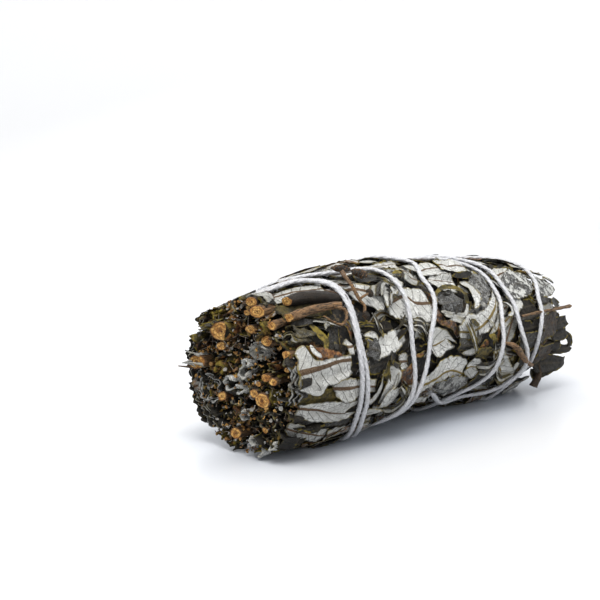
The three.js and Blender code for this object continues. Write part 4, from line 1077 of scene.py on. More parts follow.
def lay_leaf_tips():
    # black and slate leaves deep between the last turns
    leaf([(26, 64), (31, 60), (36, 60)], [(27, 71), (32, 71), (37, 69)], **BLACK)
    leaf([(27, 73), (31, 73), (37, 72)], [(27, 77), (32, 77), (37, 76)], face=DARK, tone=0.7, speck=0.5)
    leaf([(26, 79), (31, 78), (36, 77)], [(26, 88), (31, 88), (36, 87)], **BLACK)
    leaf([(25, 88), (30, 87), (35, 88)], [(26, 98), (31, 99), (36, 99)], face=DARK, tone=0.5, speck=0.4)
    leaf([(28, 104), (33, 103), (38, 102)], [(29, 116), (34, 117), (39, 116)], face=DARK, tone=0.3, speck=0.1)
    # white leaf with golden edges near the top, and a white bit lower down
    leaf([(25.5, 28), (30.5, 25), (36, 24)], [(26, 42), (30, 37), (33.5, 31)], tone=1, margin=1, lift=0.5)
    leaf([(26, 57), (29, 55), (31, 57)], [(27, 68), (29, 65), (30.5, 61)], tone=1, vein=0, lift=0.3)
    lay([(23, 59), (25, 64), (24.5, 69), (22, 71)], [0.3, 0.7, 0.7, 0.4], tone=1, lift=0.6, vein=0, margin=0.9)
    # leaves mottled white, one each side of the last turn
    leaf([(27, 40), (33, 31), (39, 30), (41, 38)], [(25, 57), (31, 57), (36, 54), (41, 46)], face=DARK,
         tone=0.9, speck=1, pied=1, lift=0.3)
    leaf([(41, 38), (46, 34), (52, 34)], [(39, 59), (44, 57), (49, 54), (53, 47)], face=DARK, tone=0.9,
         speck=1, pied=0.9, lift=0.3, piece=DARK_PIECES[6])
    lay([(50, 33), (52.5, 37), (53, 42)], [0.3, 0.8, 0.3], tone=1, lift=0.6, vein=0)
    # leaves along the top, the last ones with their tips raised
    leaf([(14, -6), (22, -8), (32, -7)], [(14, 8), (23, 11), (32, 12)], rib=[(14, 1), (32, 2)], tone=0.8)
    leaf([(33, -6), (40, -8), (48, -4)], [(33, 8), (40, 10), (48, 10)], rib=[(33, 1), (48, 3)], tone=0.85,
         rise=(0, 0.9))
    leaf([(38, 10), (45, 9), (53, 13)], [(39, 22), (46, 25), (53.5, 26)], rib=[(38, 16), (53.5, 20)], tone=0.7,
         margin=0.8, rise=(0, 0.7), lift=0.4)
    # grey leaves under the far twig
    leaf([(38, 59), (43, 60), (48, 61)], [(38, 68), (43, 68), (47, 67)], face=DARK, tone=0.7, speck=0.5)
    leaf([(39, 68), (43, 67), (46, 68)], [(39, 72), (43, 72), (46, 71)], tone=0.4, vein=0, lift=0.3)
    lay([(46, 65), (49, 64), (52, 66)], [1.0, 1.9, 1.0], face=DARK, tone=0.8, speck=0.5, lift=0.3, vein=0)
    # the two big charcoal leaves
    leaf([(36, 77), (43, 74), (49, 76), (51, 80)], [(36, 96), (42, 93), (48, 90), (51, 86)], face=DARK,
         tone=0.4, rust=0.1, speck=0.3, lift=0.4, piece=DARK_PIECES[4])
    leaf([(36, 101), (42, 103), (49, 104)], [(36, 117), (42, 119), (49, 118)], face=DARK, tone=0.4, speck=0.2,
         rust=0.1, lift=0.3, piece=DARK_PIECES[5])


def is_low(x, angle, depth, reach=1.8):
    """Whether the pile is lower here than around by at least a depth."""
    ring = np.linspace(0, 2 * math.pi, 8, endpoint=False)
    around = PILE.read(PILE.height, x + reach * np.cos(ring), angle + reach * np.sin(ring) / MM_PER_DEGREE)
    return float(PILE.read(PILE.height, np.array(x), np.array(angle))) < np.mean(around) - depth


SEEN_X, SEEN_ANGLES = (-46, 50), (5, 150)


def lay_layers(tries):
    """Leaves seen on their edges, side by side in the low places between the others."""
    for _ in range(tries):
        x, angle = RNG.uniform(*SEEN_X), RNG.uniform(*SEEN_ANGLES)
        heading, half, bend = RNG.normal(0.4, 0.5), RNG.uniform(1.8, 4.5), RNG.normal(0, 3)
        if not is_low(x, angle, 0.3):
            continue
        du, dv = heading_step(half, heading)
        first = RNG.integers(0, 2)
        for k in range(4):
            beside = 0.8 * (k - 1.5)
            cx, ca = x - beside * math.sin(heading), angle + beside * math.cos(heading) / MM_PER_DEGREE
            width = RNG.uniform(0.3, 0.6)
            lay([(cx - du, ca - dv), (cx, ca + bend), (cx + du, ca + dv)], [0.5 * width, width, 0.4 * width],
                face=PALE if (k + first) % 2 else DARK, tone=RNG.uniform(0.3, 1), margin=0.3, vein=0,
                olive=0.6 * float(RNG.uniform() > 0.75), speck=RNG.uniform(0, 0.5), lift=0.1 * k - 0.4,
                tilt=RNG.uniform(0.1, 0.4), curl=(0.2, 0.4), step=0.4)


def lay_bits(tries):
    """Broken bits of leaf, caught in the low places between the leaves."""
    for _ in range(tries):
        x, angle = RNG.uniform(*SEEN_X), RNG.uniform(*SEEN_ANGLES)
        if not is_low(x, angle, 0.4):
            continue
        half, width = RNG.uniform(0.5, 2.4), RNG.uniform(0.3, 0.9)
        heading = RNG.normal(0, 0.9)
        du, dv = heading_step(half, heading)
        kind = RNG.uniform()
        lay([(x - du, angle - dv), (x, angle + RNG.normal(0, 2)), (x + du, angle + dv)],
            [width * 0.5, width, width * 0.4], face=PALE if kind < 0.25 else DARK, tone=RNG.uniform(0.1, 0.8),
            margin=RNG.uniform(0, 0.6), olive=0.5 * float(kind > 0.92), rust=float(0.8 < kind < 0.92),
            speck=RNG.uniform(0, 0.4), vein=0, tilt=RNG.uniform(-0.4, 0.4), curl=RNG.uniform(0, 0.5, 2),
            lift=-0.2, ends=RNG.uniform(0.2, 0.8, 2), step=0.35)


lay_stem_end()
lay_first_turns()
lay_hanging_leaves()
lay_middle()
lay_lower_middle()
lay_leaf_tips()
lay_layers(110)
lay_bits(420)


def roll_frame(points):
    """Points given in the roll's own frame, whose middle line is over x, in the part's frame."""
    return np.array(points, float) - ORIGIN


def tip_strip(piece, points, widths, **looks):
    strip(piece, roll_frame(points), widths, face=DARK, **looks)


def lay_loose_tips():
    """Charcoal leaf tips that stand clear at the far end. Points are along, across and up."""
    lobes, loops = DARK_PIECES[5], DARK_PIECES[4]
    tip_strip(lobes, [(43, -12.5, 11.6), (49, -13.8, 11.3), (54, -14, 10.8), (56.5, -13.4, 11.2)],
              [1.8, 1.4, 1.3, 0.9], twist=(10, -20), tone=0.3, speck=0.1)
    tip_strip(lobes, [(40, -13, 8.4), (46, -14, 8.0), (51, -14, 7.4), (54, -13.4, 7.6)],
              [2.4, 2.4, 2.0, 1.1], twist=(0, 25), tone=0.2, speck=0.15)
    tip_strip(lobes, [(40, -12.4, 5.8), (45, -13, 5.4), (49, -12.8, 5.6)], [1.3, 1.2, 0.7], twist=(0, -20),
              tone=0.7, olive=0.2, margin=0.8)
    # loop round a gap, and the mouth of a curled leaf beside it
    tip_strip(loops, [(47, -13.4, 17), (50.5, -14, 16.2), (53.2, -14.2, 14.8), (55.2, -14, 12.8),
                      (55.6, -13.6, 11.2)],
              [0.7, 0.9, 0.8, 0.9, 0.7], twist=(0, 40), tone=0.7, speck=0.3, cup=0.6)
    scroll(loops, roll_frame([(39, -13.2, 12.8), (44, -13.8, 12.8), (48.5, -14, 12.6)]), [2.0, 2.2, 2.4], 1.2,
           start=120, tone=0.5, speck=0.1, margin=0.9)
    # short lobes of the big leaf
    for points, width in (([(44, -14.6, 18), (49, -15.2, 18.6), (52, -15, 19)], 1.8),
                          ([(45, -15, 15.6), (49.5, -15.4, 15.4), (52, -15, 15.8)], 1.6)):
        tip_strip(loops, points, [width, width, 0.7 * width], tone=0.3, speck=0.2)


lay_loose_tips()


def node_spot(node):
    """Place along the roll and angle of the middle of a node, and half its length."""
    low, high = (np.array(corner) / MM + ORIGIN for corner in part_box(node))
    middle = (low + high) / 2
    angle = math.degrees(math.atan2(-middle[1], middle[2] - axis_height(middle[0])))
    return middle[0], angle % 360, (high[0] - low[0]) / 2


# The far side and the underside. Each leaf's place is a step of these two shares on from the last one's.
FAR_X, FAR_LENGTH = -41, 84
ANGLE_SHARE, PLACE_SHARE = 0.618034, 0.754878


def lay_far(count, level, half_length, half_width, start=152, span=204):
    """Leaves spread evenly over an angle of the far side from a start."""
    for k in range(count):
        angle = start + span * ((k * ANGLE_SHARE) % 1)
        x = FAR_X + FAR_LENGTH * ((k * PLACE_SHARE + 0.13) % 1)
        heading = math.radians(RNG.normal(0, 22))
        half = RNG.uniform(0.8, 1.2) * half_length
        du, dv = heading_step(half, heading)
        bend = RNG.normal(0, 7)
        width = RNG.uniform(0.75, 1.25) * half_width
        kind = RNG.uniform()
        dark = kind < 0.3
        rib = [(x - du, angle - dv), (x - 0.3 * du, angle + bend), (x + 0.4 * du, angle + bend),
               (x + du, angle + dv)]
        lay(rib, [width * 0.5, width, width, width * 0.35], face=DARK if dark else PALE, lift=level,
            curl=RNG.uniform(0.1, 0.8, 2), fold=RNG.uniform(-0.2, 0.5), tilt=RNG.uniform(-0.3, 0.3),
            tone=RNG.uniform(0.1, 0.6) if dark else RNG.uniform(0.55, 0.95), margin=RNG.uniform(0.4, 1),
            speck=RNG.uniform(0.1, 1), rust=RNG.choice([0, 0, 0, 0, 0.7]), vein=RNG.uniform(0.2, 0.5),
            ends=(RNG.uniform(0.3, 0.8), RNG.uniform(0.1, 0.5)), teeth=RNG.uniform(0.08, 0.3), step=0.65)


lay_far(60, -0.6, 10, 4.2)
lay_far(44, -0.2, 9, 3.4)
lay_far(34, -0.4, 8, 3.2, 292, 66)
for k in (7, 8):
    x, angle, half = node_spot(f"dark_leaf_{k}")
    lay([(x - half, angle - 3), (x, angle), (x + half, angle + 3)], [1.6, 3.6, 1.2], face=DARK, tone=0.3,
        speck=0.6, lift=0.1, curl=(0.4, 0.4), piece=DARK_PIECES[k])
lay_far(34, 0.15, 6, 1.8)


TIP_COUNT = 120
TIP_REACH = 13.0
TIP_FOOT, TIP_END = 40, 50.5
GOLDEN_ANGLE = 137.5


def lay_tip_end():
    """Leaf tips packed at the far end."""
    for k in range(TIP_COUNT):
        share = math.sqrt((k + 0.5) / TIP_COUNT)
        angle = k * GOLDEN_ANGLE
        end = TIP_END - 3.5 * share**2 + RNG.normal(0, 1.3)
        x = np.array([TIP_FOOT, 0.5 * (TIP_FOOT + end), end])
        angles = angle + RNG.normal(0, 8, 3)
        points = place(x, angles, share * TIP_REACH * np.array([0.95, 1, RNG.uniform(0.9, 1.1)]))
        width = RNG.uniform(1.2, 2.6)
        strip(sprig_of(angle), points, [width, width, 0.35 * width], twist=RNG.uniform(-180, 180, 2),
              face=PALE if RNG.uniform() < 0.45 else DARK, tone=RNG.uniform(0.1, 0.9), cup=RNG.uniform(0, 0.8),
              speck=RNG.uniform(0, 0.5), rust=RNG.choice([0, 0, 0, 0.5]), vein=0.25, margin=0.6, step=0.6)


lay_tip_end()


CORE_X = (-45.5, 43)
CORE_ROWS, CORE_COLUMNS = 90, 120
CORE_RINGS, CORE_SPOKES = 22, 72


def add_core():
    """Crumbs packed under the leaves, coloured near black: their own dark colour and painted shade of the gaps
    between the leaves.
    """
    core = Bunch()
    x = np.linspace(*CORE_X, CORE_ROWS)[:, None]
    angle = np.linspace(0, 360, CORE_COLUMNS, endpoint=False)[None, :]
    lift = -2.5 + 0.7 * rough_noise(x / 2.2, angle / 7, 51)
    ends = np.clip((np.abs(x) - 40) / 5, 0, 1)
    grid = np.stack(np.broadcast_arrays(x, angle, lift - 1.5 * ends), -1)
    core.add(grid.reshape(-1, 3), grid_faces(CORE_ROWS, CORE_COLUMNS, True), rolled=True)
    for x_end, sign, seed in zip(CORE_X, (1, -1), (61, 71)):
        r = np.linspace(0.01, 1, CORE_RINGS)[:, None]
        a = np.linspace(0, 360, CORE_SPOKES, endpoint=False)[None, :]
        radius = r * (surface_radius(x_end, a) - 4)
        deep = 2.2 * rough_noise(radius * np.cos(np.radians(a)) / 2, radius * np.sin(np.radians(a)) / 2, seed)
        points = place(np.full_like(radius, x_end), a, radius)
        points[..., 0] += sign * (1.5 + deep)
        faces = grid_faces(CORE_RINGS, CORE_SPOKES, True)
        core.add(points.reshape(-1, 3), faces if sign > 0 else faces[:, ::-1])
    core.object("packed_crumbs_and_gap_shade", CRUMBS_AND_GAP_SHADE, "inner_leaf", [f"sprig_{k + 1}_leaves" for k in range(SPRIGS)])


add_core()


# Stems at the cut end: distance and angle from the middle line, diameter, how far the cut stands out, length,
# how pale the bark is
STEMS = [
    [10.3, 332, 3.9, 1.2, 46, 0.8], [8, 316, 1.9, 0.8, 22, 0.8], [17, 14, 2.1, 0.6, 26, 0.3],
    [16.2, 24, 2.6, 1.2, 30, 1.0], [11.2, 19, 1.9, 0.6, 34, 0.5], [14, 8, 1.3, 0, 18, 0.4],
    [12.3, 45, 2.1, 0.6, 28, 0.7], [16.2, 41, 1.8, 0.8, 24, 0.9], [16.3, 66, 1.8, 0.8, 24, 0.9],
    [14.5, 77, 1.1, 0, 18, 0.6], [8.8, 84, 1.7, 0.8, 22, 0.7], [10.9, 88, 1.7, 0.8, 22, 0.7],
    [5.8, 100, 1.1, 0.2, 20, 0.5], [5.9, 122, 1.8, 0.8, 26, 0.8], [8.9, 117, 3.2, 1.2, 42, 0.7],
    [7.9, 226, 2, 0.6, 28, 0.7], [13.2, 275, 3.4, 1.4, 26, 1.0], [13, 185, 2.4, 0.6, 20, 0.6],
    [13.3, 143, 1.3, 0.4, 20, 0.5], [14.5, 260, 1.5, 0.4, 18, 0.6],
]
SEEN_LENGTH = 16
SPLIT_STEM = 16


def add_stems():
    for k, (distance, angle, diameter, out, length, tone) in enumerate(STEMS):
        piece = Bunch()
        x = CUT_X - out + np.array([0, 0.3, 0.7, 1]) * min(length, SEEN_LENGTH)
        drift = RNG.normal(0, 1.5, 4)
        points = place(x, angle + drift * np.array([0, 1, 1, 1]), distance * np.array([1, 0.995, 0.985, 0.98]))
        radius = diameter / 2
        tube(piece, points, [radius * 1.02, radius, radius * 0.96, radius * 0.92], sides=28, tone=tone,
             shear=SHEAR, rough=0.09, step=0.4)
        if k == SPLIT_STEM:
            sprout = roll_frame([(-48, 13.5, 17), (-51, 15, 17), (-54, 16.5, 17.5)])
            tube(piece, sprout, [0.32, 0.28, 0.15], sides=8, tone=0.5)
        piece.object(f"cut_stem_{k + 1:02d}", WOOD, "cut_wood", [f"stem_{k + 1:02d}"])


add_stems()


# Twigs on the roll: points as place, angle and lift, then radii, then how pale the bark is
TWIGS = {
    "hooked_twig": ([[-48, 43, 0.9], [-43, 43, 1.1], [-38, 43.5, 0.9], [-34, 44, 0.6]],
                    [0.95, 0.85, 0.8, 0.7], 1.0),
    "dark_twig": ([[-45.5, 30, 0.4], [-41, 31, 0.2], [-36, 34, -0.3], [-30, 38, -1]],
                  [1.15, 1.4, 1.3, 0.9], 0.1),
    "flower_stalk": ([[-24.5, 16, 0.8], [-26.8, 24, 1.0], [-27.8, 33, 1.0], [-28.3, 40, 0.9], [-28.4, 45, 0.9],
                      [-27.8, 49, 0.8], [-28.8, 54, 0.6]], [0.5, 0.48, 0.42, 0.38, 0.42, 0.36, 0.3], 0.9),
    "far_twig": ([[26, 73, 0.7], [34, 72, 1.1], [44, 71.5, 1.5], [53.5, 71, 1.8]], [0.3, 0.4, 0.42, 0.5], 0.8),
    "bark_strip": ([[17, 90, 0.5], [21.5, 93.5, 1.2], [26, 103, 1.2], [30, 109.5, 1.2], [34, 115, 0.8]],
                   [0.25, 0.7, 0.75, 0.6, 0.4], 1.0),
}


FLORETS = 30
TWIG_STEPS = 80
STRING_CLEAR = 0.3
# Flower heads: place, angle and radius
FLOWER_HEADS = [(-24, 13, 2.0), (-22, 24, 1.8), (-24.5, 42, 0.7), (-28.8, 55, 0.6)]


def roll_points(points):
    points = np.array(points, float)
    radius = surface_radius(points[:, 0], points[:, 1]) + points[:, 2]
    return place(points[:, 0], points[:, 1], radius)


def mark_firm(points, radii):
    """Marks where a twig lies, which the string goes over."""
    line = even_spline(points, TWIG_STEPS)[0]
    thick = np.interp(np.linspace(0, 1, TWIG_STEPS), np.linspace(0, 1, len(radii)), radii)
    level = line[:, 2] + thick + STRING_CLEAR
    for side in (-0.6, 0, 0.6):
        PILE.raise_to(line[:, 0], line[:, 1] + side / MM_PER_DEGREE, level, PILE.firm)


def flower_head(piece, x, angle, radius):
    """A dried flower head: blunt sepals that stand out all over a dome."""
    for k in range(FLORETS):
        out = math.sqrt((k + 0.5) / FLORETS)
        turn = k * math.radians(GOLDEN_ANGLE)
        dx, da = radius * out * math.cos(turn), radius * out * math.sin(turn) / MM_PER_DEGREE
        rise = 0.7 + math.sqrt(1 - 0.8 * out**2)
        foot = [x + 0.5 * dx, angle + 0.5 * da, 0.5]
        tip = [x + 1.1 * dx, angle + 1.1 * da, rise]
        tube(piece, roll_points([foot, tip]), [0.2, 0.3, 0.34], sides=8, rough=0.3, cut=(False, False),
             step=0.3, tone=RNG.uniform(0.8, 1))


def add_twigs():
    for name, (points, radii, tone) in TWIGS.items():
        piece = Bunch()
        is_cut = name in ("hooked_twig", "dark_twig")
        mark_firm(points, radii)
        tube(piece, roll_points(points), radii, sides=14, rough=0.14, tone=tone, step=0.4,
             shear=SHEAR * is_cut, cut=(is_cut, False))
        if name == "flower_stalk":
            fork = [[-28.2, 44, 1.0], [-26.5, 43, 1.3], [-24.5, 42, 1.1]]
            tube(piece, roll_points(fork), [0.35, 0.28, 0.2], sides=8, rough=0.1, tone=tone)
            for spot in FLOWER_HEADS:
                flower_head(piece, *spot)
        if name == "hooked_twig":
            curl = [[-36.5, 44.5, 1.1], [-34.3, 49, 1.4], [-35, 54, 1.4], [-36.8, 57, 1.3], [-38.8, 54, 1.3],
                    [-40.5, 49, 1.2]]
            tube(piece, roll_points(curl), [0.42, 0.4, 0.36, 0.3, 0.26, 0.2], sides=8, rough=0.1, tone=tone)
        if name == "bark_strip":
            stub = roll_frame([(42.2, -13, 8.2), (41.6, -13.6, 5.4), (39.8, -13.4, 2.6)])
            tube(piece, stub, [0.7, 0.85, 1.0], sides=12, rough=0.3, tone=0.3, cut=(False, False), step=0.4)
        piece.object(f"{name}_piece", WOOD, "bark", [name])


add_twigs()


FUZZ_WIDTH = 0.035


def fibre(bunch, line, width, **looks):
    """One loose fibre, as a thin flat strip on both faces."""
    flat = unit(np.cross(np.gradient(line, axis=0), RNG.normal(0, 1, 3)))
    n = len(line)
    points = np.concatenate([line - flat * width / 2, line + flat * width / 2])
    k = np.arange(n - 1)
    bunch.add(points, np.stack([k, k + 1, n + k + 1, n + k], -1), **looks)


# The cut end: leaves seen on their edges, as ribbons that run into the roll
END_ROWS = 7


def out_of_stems(side, up):
    """Moves points of the end's plane out of the stems."""
    for distance, angle, diameter, *_ in STEMS:
        a = math.radians(angle)
        y, z = distance * math.sin(a), distance * math.cos(a)
        dy, dz = side - y, up - z
        gap = np.maximum(np.hypot(dy, dz), 1e-3)
        least = diameter / 2 + 0.35
        push = np.where(gap < least, least / gap, 1.0)
        side, up = y + dy * push, z + dz * push
    return side, up


def end_ribbon(bunch, path, out, depth, face=DARK, rim=None, flare=0.0, thickness=0.24, wave=0.35, step=0.4,
               **looks):
    """A leaf seen on its edge at the cut end, with a rim that may show its other face. The path gives places
    to the camera's side and up."""
    seed = int(RNG.integers(1 << 30))
    line, s, length = stepped(path, step, 5)
    u = s * length
    jag = 1.1 * rough_noise(u / 1.1, 0, seed) + 0.5 * np.abs(np.sin(math.pi * u / 1.6))
    deep = np.linspace(0, 1, END_ROWS)[None, :]
    x = CUT_X - out - jag[:, None] * (1 - deep) + depth * deep
    along = unit(np.gradient(line, axis=0))
    across = np.stack([-along[:, 1], along[:, 0]], -1)
    sway = wave * rough_noise(u[:, None] / 1.4, deep * 3, seed + 3) + flare * (1 - deep) ** 2
    both = []
    for half in (0.5, -0.5):
        off = sway + half * thickness
        side, up = out_of_stems(line[:, :1] + across[:, :1] * off, line[:, 1:] + across[:, 1:] * off)
        distance = np.hypot(side, up)
        angle = np.degrees(np.arctan2(side, up))
        limit = surface_radius(x, angle) + 0.6
        points = place(x, angle, np.minimum(distance, limit))
        points[..., 2] = np.maximum(points[..., 2], 0.1)
        both.append(points)
    faces = np.where(deep > 0, face, face if rim is None else rim)
    looks.setdefault("back", face)
    both_faces(bunch, *both, u[:, None], (1 - deep) * 3, 0.5, depth * deep, faces, looks)


def arc(centre, radius, start, sweep, squash=1.0, tighten=0.0, wobble=0.1):
    """Points round a centre on the cut end, from a start over a sweep in degrees."""
    t = np.linspace(0, 1, max(4, int(abs(sweep) / 28)))
    a = np.radians(start + sweep * t)
    r = radius * (1 - tighten * t) * (1 + wobble * RNG.normal(0, 1, len(t)))
    return np.stack([centre[0] + r * np.cos(a), centre[1] + squash * r * np.sin(a)], -1)


def edge_looks():
    """Looks of a leaf seen on its edge: mostly black, some with a pale or golden rim."""
    kind = RNG.uniform()
    if kind < 0.38:
        return {"tone": RNG.uniform(0, 0.1), "margin": 0.2, "speck": 0.05}
    if kind < 0.60:
        return {"rim": PALE, "tone": RNG.uniform(0.4, 1), "margin": 0.6, "speck": 0.1, "thickness": 0.3}
    if kind < 0.66:
        return {"face": PALE, "tone": RNG.uniform(0.2, 0.8), "margin": 0.3}
    if kind < 0.86:
        return {"tone": 0.6, "margin": 1.0, "olive": RNG.uniform(0.2, 0.9), "speck": 0.1}
    return {"tone": 0.6, "margin": 0.5, "rust": 1.0, "speck": 0.1}


# Dark hollows between the stems: side, up and radius
HOLLOWS = [
    (1.6, 9.6, 3.0), (2.2, 13, 2.8), (-11.8, 6.6, 2.6), (6.2, 1.2, 2.0), (-3.6, -6.6, 2.2), (-8.6, -1.6, 1.8),
    (4.4, -10.4, 2.6), (10, 7, 2.0), (1.0, -14.0, 2.0), (-9.6, -10.2, 1.8), (12.8, 1.6, 2.6), (-5, 3.6, 1.6),
]
THICK_STEM = 2.4


def stem_hollows():
    """Hollows beside the thick stems, so that their sides show."""
    return [(distance * math.sin(math.radians(angle)) + 2.2, distance * math.cos(math.radians(angle)), 1.8)
            for distance, angle, diameter, *_ in STEMS if diameter > THICK_STEM]


HOLLOWS += stem_hollows()


def in_hollow(side, up):
    return any(math.hypot(side - y, up - z) < radius for y, z, radius in HOLLOWS)


EDGES, EDGE_REACH = 260, 16.8
CRUMB_COUNT, CRUMB_REACH = 1500, 16.6
THREADS, THREAD_REACH = 90, 16
HEART_RADIUS = 8


def add_edges(ends, heart):
    """Leaf edges all over the cut end, deep in the hollows."""
    for _ in range(EDGES):
        distance = EDGE_REACH * math.sqrt(RNG.uniform(0, 1))
        a = RNG.uniform(0, 2 * math.pi)
        centre = (distance * math.sin(a), distance * math.cos(a))
        path = arc(centre, RNG.uniform(0.6, 2.6), RNG.uniform(0, 360), RNG.uniform(70, 300),
                   RNG.uniform(0.5, 1), wobble=0.18)
        piece = heart if distance < HEART_RADIUS else ends[int(math.degrees(a) % 360 // (360 / SPRIGS))]
        out = RNG.uniform(-7, -5) if in_hollow(*centre) else RNG.uniform(-3.2, 0.3)
        end_ribbon(piece, path, out, 3.0, flare=RNG.normal(0, 0.3), **edge_looks())


def add_wound_leaves(ends):
    """Leaves wound round each other at the lower left, and layers that follow the outline beside them."""
    for turn in range(6):
        path = arc((-9.8, -4.6), 3.6 - 0.55 * turn, 50 * turn, 320, 0.95, 0.1, 0.05)
        end_ribbon(ends[3], path, 0.2 - 0.45 * turn, 4.0, rim=PALE, tone=0.8, margin=0, speck=0.1,
                   thickness=0.3)
    for k, distance in enumerate((13.0, 13.7, 14.4, 15.1, 15.8, 16.5, 17.1)):
        for start, sweep in ((198, 34), (236, 30)):
            a = np.radians(start + 4 * k + np.linspace(0, sweep, 6))
            line = np.stack([distance * np.sin(a), distance * np.cos(a)], -1)
            piece = ends[2] if start + 4 * k < 216 else ends[3]
            end_ribbon(piece, line, 0.4 - 0.5 * (k % 2), 4.5, rim=PALE if k % 3 else DARK, tone=0.8,
                       margin=0.2, wave=0.5, speck=0.1, thickness=0.3)


def add_end_details(ends, heart):
    """The forms that stand out at the cut end."""
    # yellowish crumpled mass at the upper left
    for _ in range(46):
        centre = (-9.6 + RNG.normal(0, 2.3), 11.2 + RNG.normal(0, 2.0))
        path = arc(centre, RNG.uniform(0.5, 1.6), RNG.uniform(0, 360), RNG.uniform(90, 260), 0.8, wobble=0.2)
        is_pale = RNG.uniform() < 0.35
        looks = {"rim": PALE, "margin": 0.6} if is_pale else {"margin": 1}
        end_ribbon(ends[4], path, RNG.uniform(-1.2, 0.9), 2.6, tone=1, step=0.35, speck=0.1,
                   olive=0 if is_pale else RNG.uniform(0.3, 1), rust=RNG.uniform(0, 0.4), **looks)
    # grey-green ruffled leaf at the upper right, and a smaller one nearer the middle
    for k in range(4):
        ruffle = [(9.5 + 1.7 * j, 8.2 + 0.8 * k + 0.9 * math.sin(2.1 * j + k)) for j in range(5)]
        end_ribbon(ends[0], ruffle, 0.2 - 0.7 * k, 4.5, rim=PALE if k == 1 else DARK, tone=0.4, margin=0.5,
                   flare=0.9, wave=0.9, speck=0.5, olive=0.25)
    for k in range(4):
        path = arc((6.4, 6.0), 2.3 - 0.5 * k, 20 + 70 * k, 260, 0.8, wobble=0.16)
        end_ribbon(heart, path, 0.5 - 0.4 * k, 3.2, face=PALE, tone=0.6, margin=0.4, wave=0.7)
    # white curls in the middle
    for centre, radius, start in (((-2.9, -2.2), 1.6, 30), ((0.4, -2.9), 1.1, 200), ((1.4, 0.8), 1.3, 100),
                                  ((2.6, 3.0), 1.0, 300)):
        end_ribbon(heart, arc(centre, radius, start, 290, 0.85), 0.9, 2.6, face=PALE, tone=1, margin=0.2,
                   wave=0.5, thickness=0.35)
    # slate leaf, its face turned out
    end_ribbon(heart, [(-5.6, -6.4), (-3.2, -5.8), (-0.6, -6.2), (1.2, -7.0)], 0.2, 4, tone=1, margin=0,
               flare=2.2, speck=0.1)
    # ruffled pale edge beside the first leaf
    for k in range(3):
        ruffle = [(15.4 + 0.5 * k + 0.6 * (j % 2), 4.4 - 2.0 * j) for j in range(5)]
        end_ribbon(ends[1], ruffle, 0.4 - 0.6 * k, 4, rim=PALE, tone=0.7, margin=0.1, wave=0.6, speck=0.3)
    # white curls and black leaves low on the right
    for side, up in ((4.6, -13.6), (6.4, -15.4), (10.2, -13.2), (1.6, -8.6)):
        end_ribbon(ends[2], arc((side, up), 1.2, RNG.uniform(0, 360), 200, 0.9), 0.7, 2.4, face=PALE, tone=1,
                   margin=0.2, wave=0.4)
    for k in range(10):
        y, z = RNG.uniform(6.5, 14), RNG.uniform(-15, -9)
        path = [(y - 2, z + 1), (y, z + RNG.normal(0, 0.8)), (y + 2, z - 0.6)]
        end_ribbon(ends[2] if k % 2 else ends[1], path, RNG.uniform(-0.6, 0.6), 4, tone=0, margin=0.2,
                   speck=0.1, flare=0.9)
    # golden half ring at the left, and a curled golden strip at the upper right
    end_ribbon(heart, arc((-6.4, 0.6), 1.3, -40, 250, 1.1), 0.8, 3, tone=1, olive=0.7, rust=0.5, speck=0,
               thickness=0.6)
    end_ribbon(ends[0], [(8.2, 12.8), (8.8, 11.4), (8.2, 10.0), (6.8, 9.0)], 1.4, 1.6, tone=1, olive=0.8,
               rust=0.3, speck=0, thickness=0.55)


def add_splinters(bunch):
    """Pale slivers round the split stem."""
    for across, up, lean in ((12, 18, 0.5), (13, 20, 1.5), (14, 19, -0.5), (13.5, 17.5, 1)):
        points = [(-48, across, up), (-51.5, across + 0.3, up + 0.3 * lean), (-54, across + 1, up + lean)]
        strip(bunch, roll_frame(points), [0.8, 0.7, 0.3], twist=(20 * lean, 90), back=PALE, tone=1, olive=0.4,
              vein=0, margin=0.5, cup=0.6)


def add_black_leaves(bunch):
    """Smooth black leaves that hang over the lower corner of the cut end."""
    for along, across, up, turn in ((-52, -7, 4.5, 20), (-50, -10.5, 6, 45), (-48, -13, 8, 65)):
        points = [(along + 8, across - 0.5, up + 0.5), (along + 4, across - 0.5, up), (along, across, up)]
        strip(bunch, roll_frame(points), [2.2, 2.8, 1.5], twist=(turn, turn + 20), back=DARK, vein=0, cup=0.5,
              **BLACK)


